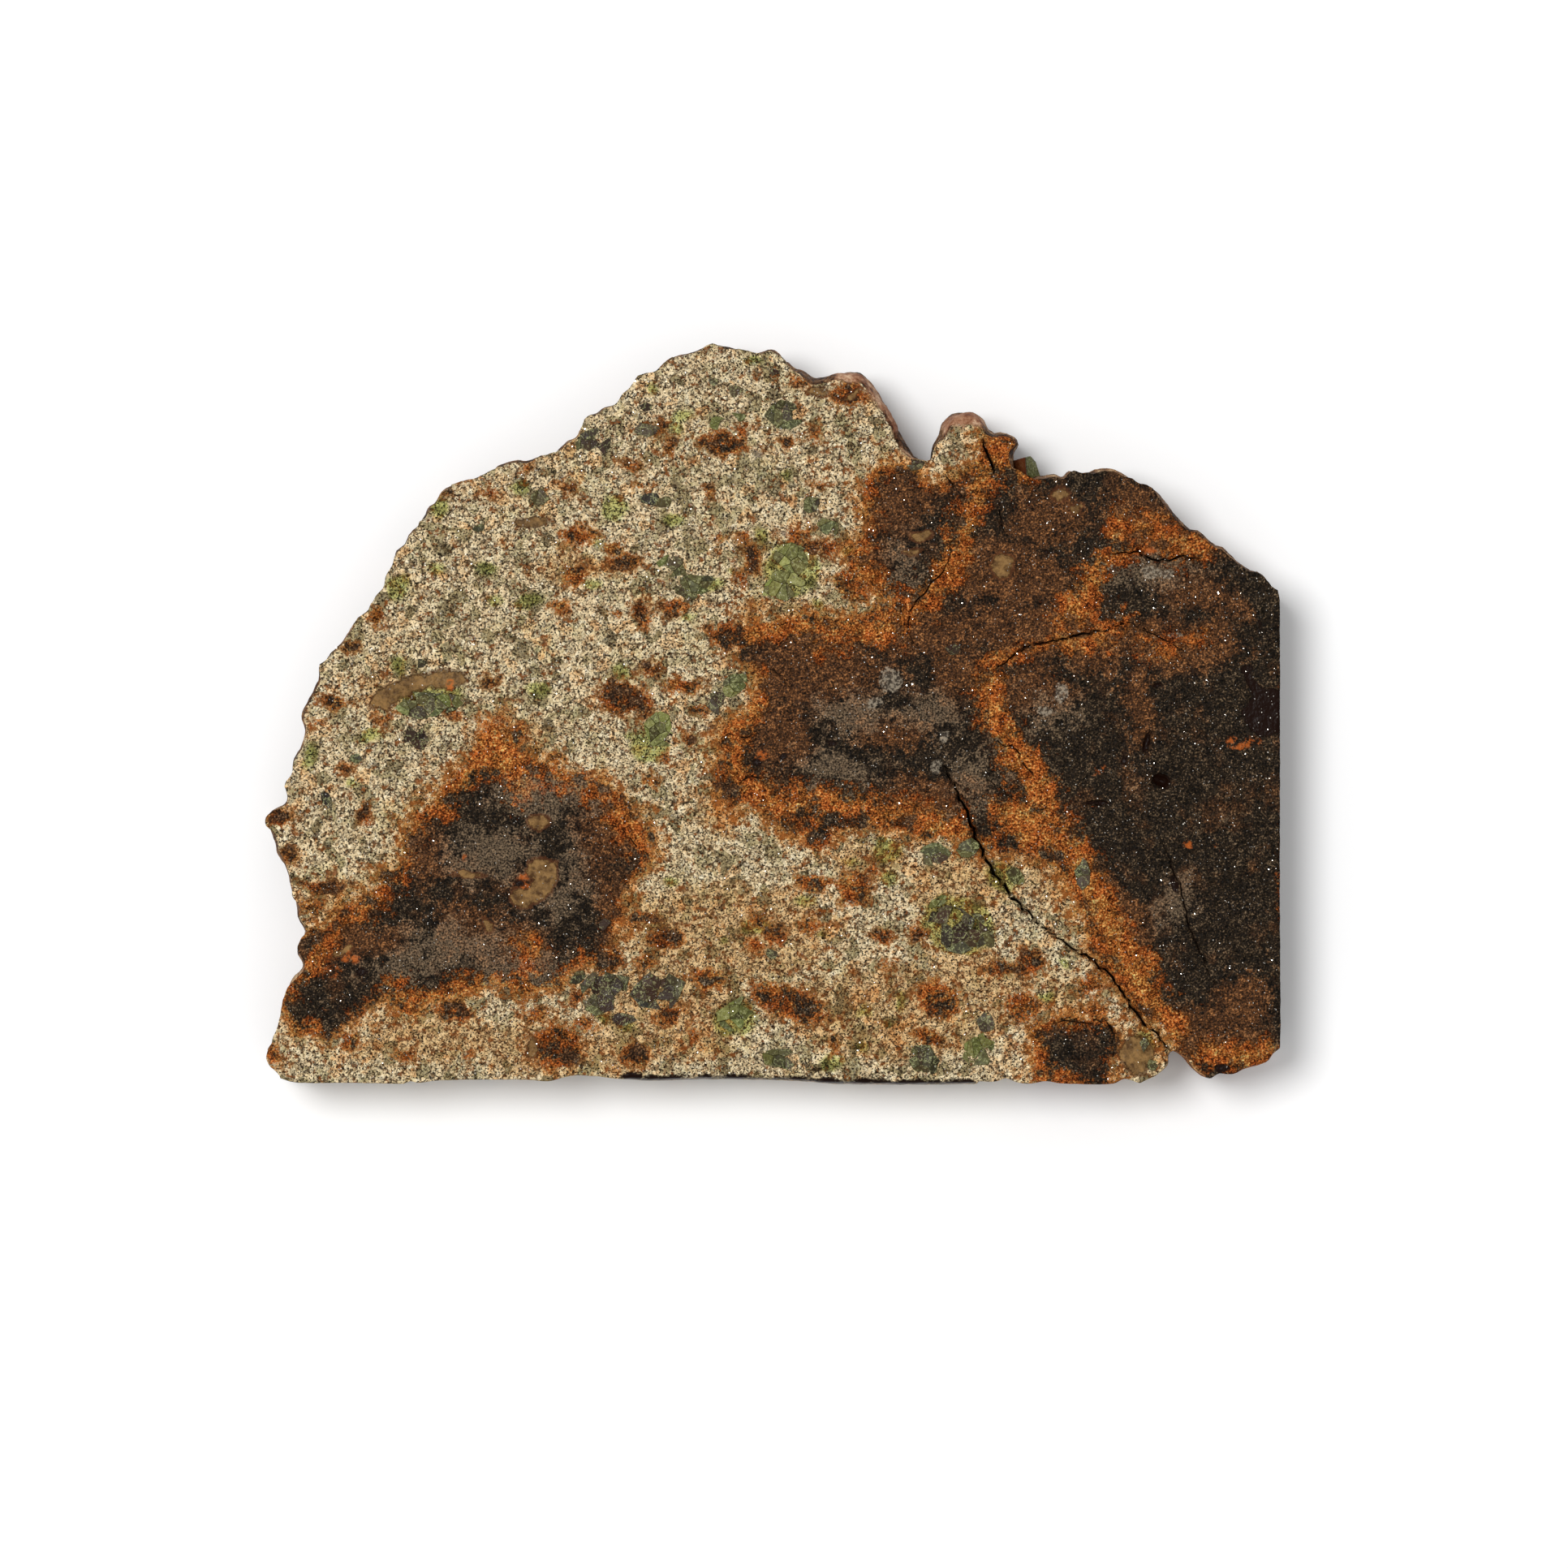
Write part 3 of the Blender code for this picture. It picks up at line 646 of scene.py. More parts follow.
def pit_depth(points):
    """How far down the pits go at each point, in metres."""
    depth = np.zeros(len(points))
    for pit in PITS:
        spot = (*pit.centre, pit.length, pit.width, pit.turn)
        share = np.clip(spot_depth(points, spot) / (min(pit.length, pit.width) / 2), 0, 1)
        depth = np.maximum(depth, pit.depth * np.sqrt(share))
    return depth


def crystal_outlines():
    """The uneven corners of each crystal's top, in pixels."""
    rng = np.random.default_rng(5)
    outlines = []
    for crystal in CRYSTALS:
        count = 7 if max(crystal.length, crystal.width) < 24 else 11
        angles = (np.arange(count) + rng.uniform(-0.4, 0.4, count)) * math.tau / count
        reach = rng.uniform(*CRYSTAL_REACH, count)
        along = reach * crystal.length / 2 * np.cos(angles)
        aside = reach * crystal.width / 2 * np.sin(angles)
        turn = math.radians(crystal.turn)
        outlines.append(
            np.column_stack(
                (
                    crystal.across + along * math.cos(turn) - aside * math.sin(turn),
                    crystal.down - along * math.sin(turn) - aside * math.cos(turn),
                )
            )
        )
    return outlines


# Which mineral is where


ZONE_WARP = 13
ZONE_WARP_SIZE = 0.0030
SPOT_WARP = 4
SPOT_WARP_SIZE = 0.0010
SPOT_GROWTH = 2
FRINGE = 8
FRINGE_SWING = 1.8
FRINGE_SWELL = 0.0045
HEART_DEPTH = 9
DARKEST_HEART = 3
HALO_GAP = 14
SIDE_FADE = 0.25


def warped(positions, size, reach, seed):
    """The pixels of points in metres, shifted by noise, so that straight outlines turn ragged."""
    shift = Vector((seed, seed, seed))
    pushes = [noise.turbulence_vector(Vector(p) / size + shift, 4, False)[:2] for p in positions]
    return pixels_of(positions) + np.array(pushes) * reach


def mineral_values(positions, lines):
    """Named values at rows of points in metres. Depths are in pixels, the others run from 0 to 1."""
    rough = warped(positions, ZONE_WARP_SIZE, ZONE_WARP, 3.1)
    fine = warped(positions, SPOT_WARP_SIZE, SPOT_WARP, 7.7)
    bands = deepest(rough, RUST_BANDS, band_depth)
    rusty = deepest(fine, RUSTY_SPOTS, spot_depth) + SPOT_GROWTH
    mass = deepest(rough, RUST_ZONES, zone_depth)
    fringe = FRINGE * (1 + FRINGE_SWING * noise_at(positions, FRINGE_SWELL, seed=4, octaves=2))
    cores = np.minimum(mass - np.maximum(fringe, 0), -bands)
    hearts = np.minimum(rusty - HEART_DEPTH, DARKEST_HEART)
    _, near_crack = crack_opening(pixels_of(positions), lines)
    glaze_and_ledge_shade_depth = deepest(fine, GLAZE_AND_LEDGE_SHADE_ZONES, zone_depth)
    below = (THICKNESS - positions[:, 2]) / PIXEL
    return {
        "rust": np.maximum(mass, rusty),
        "halo": np.maximum(mass, rusty - HALO_GAP),
        "dark": np.maximum(cores, hearts),
        "metal": deepest(fine, METAL_SPOTS, spot_depth),
        "ochre": deepest(rough, OCHRE_SPOTS, spot_depth),
        "brown": deepest(rough, BROWN_SPOTS, spot_depth),
        "green": deepest(fine, GREEN_SPOTS, spot_depth),
        "tan": np.maximum(deepest(fine, TAN_ZONES, zone_depth), deepest(fine, TAN_SPOTS, spot_depth)),
        "grey": deepest(fine, GREY_SPOTS, spot_depth),
        "red": deepest(fine, RED_SPOTS, spot_depth),
        "glaze_and_ledge_shade": np.maximum(glaze_and_ledge_shade_depth, deepest(fine, GLOSS_SPOTS, spot_depth)) - SIDE_FADE * below,
        "smooth": deepest(fine, SMOOTH_ZONES, zone_depth) - SIDE_FADE * below,
        "outside": np.full(len(positions), -float(DEPTH_RANGE)),
        "crack": near_crack,
    }


DEPTH_RANGE = 40


def store_values(mesh, values):
    """Keeps each named value at the mesh's points, depths as shares of the depth range."""
    for name, column in values.items():
        if name not in ("crack", "tint"):
            column = np.clip(column / DEPTH_RANGE, -1, 1)
        layer = mesh.attributes.new(name, "FLOAT", "POINT")
        layer.data.foreach_set("value", np.asarray(column, np.float32))


GRAIN_SIZE = 0.00044


def grain_cells(positions):
    """For each point: how far it is from its grain's heart, its gap to the next grain, a random share."""
    near = np.empty(len(positions))
    gap = np.empty(len(positions))
    share = np.empty(len(positions))
    for i, position in enumerate(positions):
        distances, hearts = noise.voronoi(Vector(position) / GRAIN_SIZE)
        near[i] = distances[0]
        gap[i] = distances[1] - distances[0]
        share[i] = noise.cell(hearts[0] * 31.7) % 1
    return near, gap, share


GRAIN_RISE = 0.00009
PORE_DROP = 0.00016
PORE_SHARE = 0.12
SWELL_RISE = 0.00005
SWELL_SIZE = 0.0040
FINE_RISE = 0.00004
FINE_SIZE = 0.00035
SOCKET_DROP = 0.00014
CRUST_LEVEL = 0.06


def step_up(values, low, high):
    """0 below low, 1 above high, and smooth between them."""
    share = np.clip((values - low) / (high - low), 0, 1)
    return share * share * (3 - 2 * share)


def face_relief(positions, values, cells, outlines, lines):
    """How far the face stands above or below its level at rows of points, in metres."""
    pixels = pixels_of(positions)
    near, gap, share = cells
    smooth = np.max(
        [
            0.65 * step_up(values["dark"], -4, 8),
            0.85 * step_up(values["tan"], -1, 2),
            0.9 * step_up(values["smooth"], -3, 5),
            0.9 * step_up(values["glaze_and_ledge_shade"], -1, 3),
        ],
        axis=0,
    )
    grains = GRAIN_RISE * (share - 0.5) + GRAIN_RISE * 0.5 * step_up(gap, 0, 0.25) * (1 - near)
    pores = PORE_DROP * (share < PORE_SHARE)
    fine = FINE_RISE * noise_at(positions, FINE_SIZE, seed=5, octaves=2)
    swell = SWELL_RISE * noise_at(positions, SWELL_SIZE, seed=2)
    relief = swell + (grains - pores + fine) * (1 - smooth)
    sockets = deepest(pixels, outlines, zone_depth)
    relief -= SOCKET_DROP * step_up(sockets, -1, 2)
    open_depth, _ = crack_opening(pixels, lines)
    return relief - open_depth - pit_depth(pixels)


def crack_rows(lines):
    """Rows of points along each crack and close beside it, so that its walls are clean."""
    rows = []
    for crack, line in lines:
        along = np.gradient(line, axis=0)
        along /= np.linalg.norm(along, axis=1)[:, None]
        aside = np.column_stack((-along[:, 1], along[:, 0]))
        opened = opening(np.linspace(0, 1, len(line)))[:, None]
        for share in (-1.05, -0.5, 0, 0.5, 1.05):
            rows.append(line + aside * opened * crack.width / 2 * share)
    return np.concatenate(rows)


def scattered(outline, step, seed, kept=None):
    """Points about a step apart inside an outline of pixels, with room left round the kept ones."""
    rng = np.random.default_rng(seed)
    low = outline.min(axis=0)
    high = outline.max(axis=0)
    row_step = step * math.sqrt(3) / 2
    rows = []
    for i, down in enumerate(np.arange(low[1], high[1], row_step)):
        across = np.arange(low[0] + step / 2 * (i % 2), high[0], step)
        rows.append(np.column_stack((across, np.full(len(across), down))))
    points = np.concatenate(rows)
    points += rng.uniform(-0.3, 0.3, points.shape) * step
    depth = zone_depth(points, outline)
    points = points[depth > step * 0.5]
    if kept is not None:
        cell = step * 0.55
        taken = {(int(a // cell), int(b // cell)) for a, b in kept}
        clear = [
            not any(
                (int(a // cell) + i, int(b // cell) + j) in taken for i in (-1, 0, 1) for j in (-1, 0, 1)
            )
            for a, b in points
        ]
        points = np.concatenate((points[clear], kept))
    return points


def fill(border, inner):
    """Triangles that fill a closed border through the inner points. Border points come first."""
    points = [Vector(p) for p in np.concatenate((border, inner))]
    filled = delaunay_2d_cdt(points, [], [list(range(len(border)))], 1, 1e-6)
    first = {}
    for vertex, sources in enumerate(filled[3]):
        first[vertex] = min(sources)
    return [[first[v] for v in face] for face in filled[2]]


# Room on the map that the skin's baked colours are kept in: the upper face gets most of it, the lower
# face a corner, and the side three rows beside that.
MAP_EDGE = 0.01
UPPER_SCALE = 0.98
LOWER_SCALE = 0.36
SIDE_ROWS = 3
SIDE_LEFT = 0.40
SIDE_ROW_HEIGHT = 0.072


def skin_map(positions, faces, levels, around):
    """Map coordinates for every corner of every face of the skin."""
    u_of = (positions[:, 0] - LOWEST.x) / WIDTH
    v_of = (positions[:, 1] - LOWEST.y) / WIDTH
    upper_floor = 1 - MAP_EDGE - UPPER_SCALE * (HIGHEST.y - LOWEST.y) / WIDTH
    coordinates = []
    for kind, face in faces:
        if kind == "upper":
            coordinates += [(MAP_EDGE + UPPER_SCALE * u_of[v], upper_floor + UPPER_SCALE * v_of[v]) for v in face]
        elif kind == "lower":
            coordinates += [(MAP_EDGE + LOWER_SCALE * u_of[v], MAP_EDGE + LOWER_SCALE * v_of[v]) for v in face]
        else:
            columns = [v % around for v in face]
            turned = 0 in columns and around - 1 in columns
            columns = [around if turned and c == 0 else c for c in columns]
            row = min(columns) * SIDE_ROWS // around
            start = math.ceil(row * around / SIDE_ROWS)
            run = 1 - MAP_EDGE - SIDE_LEFT
            for v, column in zip(face, columns):
                share = (column - start) * SIDE_ROWS / (around + SIDE_ROWS)
                level = v // around / (levels - 1)
                floor = MAP_EDGE + row * (SIDE_ROW_HEIGHT + MAP_EDGE)
                coordinates.append((SIDE_LEFT + run * share, floor + SIDE_ROW_HEIGHT * (1 - level)))
    return np.array(coordinates, np.float32)


def skin_mesh(outlines, lines):
    """One closed skin of the whole stone, with its values and its map."""
    rings, inward, settings = side_rings()
    rings = roughened(rings, inward, settings)
    levels, around = rings.shape[:2]
    upper_border = pixels_of(rings[0])
    lower_border = pixels_of(rings[-1])
    rows = crack_rows(lines)
    rows = rows[zone_depth(rows, upper_border) > FACE_STEP / 2]
    upper_inner = scattered(upper_border, FACE_STEP, 21, rows)
    lower_inner = scattered(lower_border, UNDERSIDE_STEP, 22)
    flat = rings.reshape(-1, 3)
    upper_points = place(upper_inner, THICKNESS)
    lower_points = place(lower_inner, 0)
    positions = np.concatenate((flat, upper_points, lower_points))
    upper_start = len(flat)
    lower_start = upper_start + len(upper_points)

    faces = []
    for a, b, c in fill(upper_border, upper_inner):
        faces.append(("upper", [v if v < around else upper_start + v - around for v in (a, b, c)]))
    last = (levels - 1) * around
    for face in fill(lower_border, lower_inner):
        corners = [last + v if v < around else lower_start + v - around for v in face]
        faces.append(("lower", corners))
    for level in range(levels - 1):
        for i in range(around):
            j = (i + 1) % around
            top, below = level * around, (level + 1) * around
            faces.append(("side", [top + i, top + j, below + j]))
            faces.append(("side", [top + i, below + j, below + i]))
    faces = [(kind, outward(positions, kind, face)) for kind, face in faces]

    values = mineral_values(positions, lines)
    upper = np.r_[0:around, upper_start:lower_start]
    chosen = {name: column[upper] for name, column in values.items()}
    cells = grain_cells(positions)
    # The grain's random share, which also sets how far it rises or sinks; the iron stone's colour darkens with it,
    # partly as painted shade in the low grains and pores.
    values["tint"] = cells[2]
    positions[upper, 2] += face_relief(positions[upper], chosen, [c[upper] for c in cells], outlines, lines)
    level_of = np.arange(levels * around) // around / (levels - 1)
    kept = np.tile(settings[3], levels) * step_up(level_of, 0, CRUST_LEVEL)
    values["outside"][:levels * around] = (2 * kept - 1) * DEPTH_RANGE

    mesh = bpy.data.meshes.new("stone_skin")
    mesh.from_pydata(positions.tolist(), [], [face for _, face in faces])
    store_values(mesh, values)
    layer = mesh.uv_layers.new(name="OFBake")
    layer.data.foreach_set("uv", skin_map(positions, faces, levels, around).ravel())
    mesh.shade_smooth()
    return mesh


def outward(positions, kind, face):
    """The face's corners in the order that makes it look out of the stone."""
    a, b, c = (positions[v] for v in face)
    looks_up = np.cross(b - a, c - a)[2] > 0
    if kind == "side" or looks_up == (kind == "upper"):
        return face
    return face[::-1]


# Crystals, grains and flecks


# The rings of a block are shares of its outline with their drops below its top, from the top down.
Block = namedtuple("Block", "outline top slope rings")


def blocks_mesh(name, blocks, values_per_block):
    """Closed blocks with tilted tops. Every point of one keeps that one's values.

    The edge value is 0 at the rings' first and 1 beyond it.
    """
    points = []
    faces = []
    hidden = []
    edge = []
    kept = {key: [] for key in values_per_block[0]}
    for block, own in zip(blocks, values_per_block):
        count = len(block.outline)
        centre = block.outline.mean(axis=0)
        start = len(points)
        for share, drop in block.rings:
            ring = centre + (block.outline - centre) * share
            tilt = (ring - centre) @ block.slope * PIXEL
            points += place(ring, block.top - drop + tilt).tolist()
        last = len(points) - count
        faces.append(range(start, start + count))
        for upper in range(start, last, count):
            for i in range(count):
                j = (i + 1) % count
                faces.append((upper + j, upper + i, upper + count + i, upper + count + j))
        faces.append(range(last, last + count)[::-1])
        hidden += [False] * (len(points) - start - count) * 4 + [False] * count + [True] * count
        edge += [0] * count + [1] * (len(points) - start - count)
        for key, value in own.items():
            kept[key] += [value] * (len(points) - start)
    mesh = bpy.data.meshes.new(name)
    mesh.from_pydata(points, [], [tuple(face) for face in faces])
    kept["edge"] = edge
    for key, column in kept.items():
        layer = mesh.attributes.new(key, "FLOAT", "POINT")
        layer.data.foreach_set("value", np.array(column, np.float32))
    flat_map(mesh, np.array(points), np.array(hidden))
    return mesh


def flat_map(mesh, places, hidden):
    """Map coordinates straight from above. The hidden corners share one place outside the stone's."""
    corners = np.empty(len(mesh.loops), int)
    mesh.loops.foreach_get("vertex_index", corners)
    u = MAP_EDGE + UPPER_SCALE * (places[corners, 0] - LOWEST.x) / WIDTH
    v = MAP_EDGE + UPPER_SCALE * (places[corners, 1] - LOWEST.y) / WIDTH
    spots = np.column_stack((u, v))
    spots[hidden] = (MAP_EDGE, 1 - MAP_EDGE)
    layer = mesh.uv_layers.new(name="OFBake")
    layer.data.foreach_set("uv", spots.astype(np.float32).ravel())


def turned_right(outline):
    """The outline in the order that makes a block built on it look outwards."""
    ahead = np.roll(outline, -1, axis=0)
    area = np.sum(outline[:, 0] * ahead[:, 1] - ahead[:, 0] * outline[:, 1])
    return outline if area < 0 else outline[::-1]


def split_by_seeds(outline, seeds):
    """The part of a convex outline that is nearest to each seed."""
    parts = []
    for i, seed in enumerate(seeds):
        part = [tuple(corner) for corner in outline]
        for j, other in enumerate(seeds):
            if i == j:
                continue
            middle = (seed + other) / 2
            direction = other - seed
            part = cut_off(part, middle, direction)
            if not part:
                break
        if len(part) >= 3:
            parts.append(np.array(part))
    return parts


def cut_off(part, middle, direction):
    """What is left of a convex outline on the near side of a line."""
    kept = []
    for start, end in zip(part, part[1:] + part[:1]):
        start_side = (start[0] - middle[0]) * direction[0] + (start[1] - middle[1]) * direction[1]
        end_side = (end[0] - middle[0]) * direction[0] + (end[1] - middle[1]) * direction[1]
        if start_side <= 0:
            kept.append(start)
        if (start_side < 0 < end_side) or (end_side < 0 < start_side):
            share = start_side / (start_side - end_side)
            kept.append((start[0] + share * (end[0] - start[0]), start[1] + share * (end[1] - start[1])))
    return kept


SHARD_PX = 14
SHARD_SLOPE = 0.22
SHARD_RISE = 0.00005
SHARD_HIGHEST = 0.00013
SHARD_RINGS = ((0.90, 0), (0.98, 0.00004), (1.0, 0.00030))
LOST_SHARDS = 0.22
EDGE_BRIGHTER = 0.22
HUE_SPREAD = 0.12
CRYSTAL_STAIN = 0.25

# The two halves of the broken crystal beside the small knob: outline, level of its top, slope, hue
# and how far rust has stained it
BROKEN_CRYSTAL = (
    # The first half's charcoal hue and heavy stain are partly painted shade, for a facet that looks shaded.
    ([(1250, 566), (1264, 562), (1267, 598), (1249, 598)], 0.27, (0.9, -0.2), 0.0, 0.9),
    ([(1264, 562), (1271, 560), (1278, 567), (1285, 587), (1284, 600), (1267, 598)], 0.42, (-1.9, -0.3), 0.6, 0.1),
)
BROKEN_RINGS = ((0.94, 0), (1.0, 0.0003), (0.9, 0.0030))


def crystals_mesh(outlines):
    """Every crystal, broken into shards that fit together, level with the face."""
    rng = np.random.default_rng(8)
    blocks = []
    values = []
    for crystal, outline in zip(CRYSTALS, outlines):
        centre = outline.mean(axis=0)
        half = max(crystal.length, crystal.width) / 2
        count = max(2, round((2 * half / SHARD_PX) ** 2))
        seeds = centre + rng.uniform(-half, half, (count, 2))
        for part in split_by_seeds(outline, seeds):
            middle = part.mean(axis=0)
            far = np.linalg.norm(middle - centre) / half
            lost = rng.uniform(0, 1) < LOST_SHARDS
            if lost and far > 0.5:
                continue
            slope = rng.uniform(-SHARD_SLOPE, SHARD_SLOPE, 2)
            tallest = np.max((part - middle) @ slope) * PIXEL
            top = THICKNESS + min(rng.uniform(-0.5, 1) * SHARD_RISE, SHARD_HIGHEST - tallest)
            blocks.append(Block(turned_right(part), top, slope, SHARD_RINGS))
            # Shards further from the crystal's middle are paler: partly the paler rims the crystals have, partly
            # painted light glowing through a translucent crystal's thin edge.
            hue = crystal.hue + EDGE_BRIGHTER * (far - 0.5) + rng.uniform(-HUE_SPREAD, HUE_SPREAD)
            stain = rng.uniform(0, CRYSTAL_STAIN)
            values.append({"hue": hue, "tint": rng.uniform(0, 1), "stain": stain})
    for outline, level, slope, hue, stain in BROKEN_CRYSTAL:
        top = (1 - level) * THICKNESS
        blocks.append(Block(turned_right(np.array(outline, float)), top, np.array(slope), BROKEN_RINGS))
        values.append({"hue": hue, "tint": 0.6, "stain": stain})
    return blocks_mesh("crystals", blocks, values)


GRAIN_STEP = 9
GRAIN_RADIUS = (2.0, 4.4)
GRAIN_SLOPE = 0.24
GRAIN_TOP = (-0.00004, 0.00004)
GRAIN_RINGS = ((0.7, 0), (1.0, 0.00022))


def grains_mesh(border, outlines, lines):
    """Coarser grains that stand a little proud of the sawn face."""
    rng = np.random.default_rng(9)
    hearts = scattered(border, GRAIN_STEP, 31)
    hearts = hearts[zone_depth(hearts, border) > GRAIN_RADIUS[1]]
    hearts = hearts[deepest(hearts, outlines, zone_depth) < -GRAIN_RADIUS[0]]
    values = mineral_values(place(hearts, THICKNESS), lines)
    open_depth, _ = crack_opening(hearts, [(c._replace(width=c.width + 6), line) for c, line in lines])
    chance = 0.80 - 0.65 * step_up(values["dark"], -6, 6)
    chance *= (values["tan"] < -2) * (values["smooth"] < -4) * (values["glaze_and_ledge_shade"] < -4) * (open_depth == 0)
    blocks = []
    block_values = []
    for i in np.flatnonzero(rng.uniform(0, 1, len(hearts)) < chance):
        count = rng.integers(5, 8)
        angles = (np.arange(count) + rng.uniform(-0.3, 0.3, count)) * math.tau / count
        reach = rng.uniform(*GRAIN_RADIUS) * rng.uniform(0.75, 1.1, count)
        outline = hearts[i] + np.column_stack((np.cos(angles), np.sin(angles))) * reach[:, None]
        slope = rng.uniform(-GRAIN_SLOPE, GRAIN_SLOPE, 2)
        top = THICKNESS + rng.uniform(*GRAIN_TOP)
        blocks.append(Block(turned_right(outline), top, slope, GRAIN_RINGS))
        own = {
            name: column[i] if name == "crack" else np.clip(column[i] / DEPTH_RANGE, -1, 1)
            for name, column in values.items()
        }
        own["tint"] = rng.uniform(0.1, 1)
        block_values.append(own)
    return blocks_mesh("grains", blocks, block_values)


FLECK_COUNT = 5000
FLECK_RADIUS = (0.5, 1.3)
FLECK_SLOPE = 0.45
FLECK_TOP = (0.00002, 0.00008)
FLECK_RINGS = ((0.8, 0), (1.0, 0.00012))

# Larger glints, each tilted so that it mirrors the light
GLINTS = (
    (1117, 844), (1124, 843), (1501, 731), (1486, 671), (414, 798), (721, 528), (783, 470), (705, 550),
    (534, 1036), (706, 1173),
)
GLINT_RADIUS = 1.7
GLINT_SLOPE = (0.16, 0.09)


def flecks_mesh(border):
    """Tiny bright facets, tilted every way, that glint in both the dark and the pale stone."""
    rng = np.random.default_rng(10)
    hearts = rng.uniform(border.min(axis=0), border.max(axis=0), (3 * FLECK_COUNT, 2))
    hearts = hearts[zone_depth(hearts, border) > 2 * FLECK_RADIUS[1]][:FLECK_COUNT]
    blocks = []
    values = []
    for i, heart in enumerate((*GLINTS, *hearts)):
        angles = (np.arange(4) + rng.uniform(-0.3, 0.3, 4)) * math.tau / 4
        radius = GLINT_RADIUS if i < len(GLINTS) else rng.uniform(*FLECK_RADIUS)
        reach = radius * rng.uniform(0.5, 1.2, 4)
        outline = heart + np.column_stack((np.cos(angles), np.sin(angles))) * reach[:, None]
        slope = GLINT_SLOPE if i < len(GLINTS) else rng.uniform(-FLECK_SLOPE, FLECK_SLOPE, 2)
        top = THICKNESS + rng.uniform(*FLECK_TOP)
        blocks.append(Block(turned_right(outline), top, slope, FLECK_RINGS))
        values.append({"tint": rng.uniform(0, 1)})
    return blocks_mesh("metal_flecks", blocks, values)


# Materials


def colour(red, green, blue):
    """A colour as shaders take it, from the 0 to 255 values of a screen."""
    shares = [value / 255 for value in (red, green, blue)]
    linear = [s / 12.92 if s <= 0.04045 else ((s + 0.055) / 1.055) ** 2.4 for s in shares]
    return (*linear, 1)


class Finish:
    """One material, and short ways to add nodes to it."""

    def __init__(self, name):
        self.material = bpy.data.materials.new(name)
        self.material.use_nodes = True
        self.nodes = self.material.node_tree.nodes
        self.links = self.material.node_tree.links
        self.shader = self.nodes["Principled BSDF"]
        self.position = self.nodes.new("ShaderNodeTexCoord").outputs["Object"]

    def feed(self, socket, value):
        if isinstance(value, bpy.types.NodeSocket):
            self.links.new(value, socket)
        else:
            socket.default_value = value

    def set(self, name, value):
        self.feed(self.shader.inputs[name], value)

    def value(self, name):
        """A value kept at the mesh's points."""
        node = self.nodes.new("ShaderNodeAttribute")
        node.attribute_name = name
        return node.outputs["Fac"]

    def noise(self, size, detail=2, roughness=0.5, shift=0):
        """Noise from 0 to 1 whose swells are about as large as the size. The shift gives another one."""
        moved = self.nodes.new("ShaderNodeVectorMath")
        self.feed(moved.inputs[0], self.position)
        moved.inputs[1].default_value = (shift, shift, shift)
        node = self.nodes.new("ShaderNodeTexNoise")
        self.feed(node.inputs["Vector"], moved.outputs["Vector"])
        node.inputs["Scale"].default_value = 1 / size
        node.inputs["Detail"].default_value = detail
        node.inputs["Roughness"].default_value = roughness
        return node.outputs["Fac"]

    def cells(self, size, *outputs):
        """Cells about as large as the size: a random Color each, and the Distance to their hearts."""
        node = self.nodes.new("ShaderNodeTexVoronoi")
        self.feed(node.inputs["Vector"], self.position)
        node.inputs["Scale"].default_value = 1 / size
        return [node.outputs[output] for output in outputs]

    def sum(self, operation, first, second=0.0, clamp=False):
        node = self.nodes.new("ShaderNodeMath")
        node.operation = operation
        node.use_clamp = clamp
        self.feed(node.inputs[0], first)
        self.feed(node.inputs[1], second)
        return node.outputs[0]

    def step(self, value, low, high, start=0.0, end=1.0):
        """start below low, end above high, and smooth between them."""
        node = self.nodes.new("ShaderNodeMapRange")
        node.interpolation_type = "SMOOTHSTEP"
        self.feed(node.inputs["Value"], value)
        node.inputs["From Min"].default_value = low
        node.inputs["From Max"].default_value = high
        node.inputs["To Min"].default_value = start
        node.inputs["To Max"].default_value = end
        return node.outputs["Result"]

    def mix(self, share, first, second, kind="MIX"):
        node = self.nodes.new("ShaderNodeMix")
        node.data_type = "RGBA"
        node.blend_type = kind
        self.feed(node.inputs["Factor"], share)
        self.feed(node.inputs["A"], first)
        self.feed(node.inputs["B"], second)
        return node.outputs["Result"]

    def ramp(self, value, *stops):
        """Colours along a value, from (place, colour) stops."""
        node = self.nodes.new("ShaderNodeValToRGB")
        self.feed(node.inputs["Fac"], value)
        for i, (place_on, shade) in enumerate(stops):
            stop = node.color_ramp.elements[i] if i < 2 else node.color_ramp.elements.new(place_on)
            stop.position = place_on
            stop.color = shade
        return node.outputs["Color"]

    def bump(self, height, distance, strength=1.0):
        node = self.nodes.new("ShaderNodeBump")
        node.inputs["Distance"].default_value = distance
        node.inputs["Strength"].default_value = strength
        self.feed(node.inputs["Height"], height)
        self.set("Normal", node.outputs["Normal"])


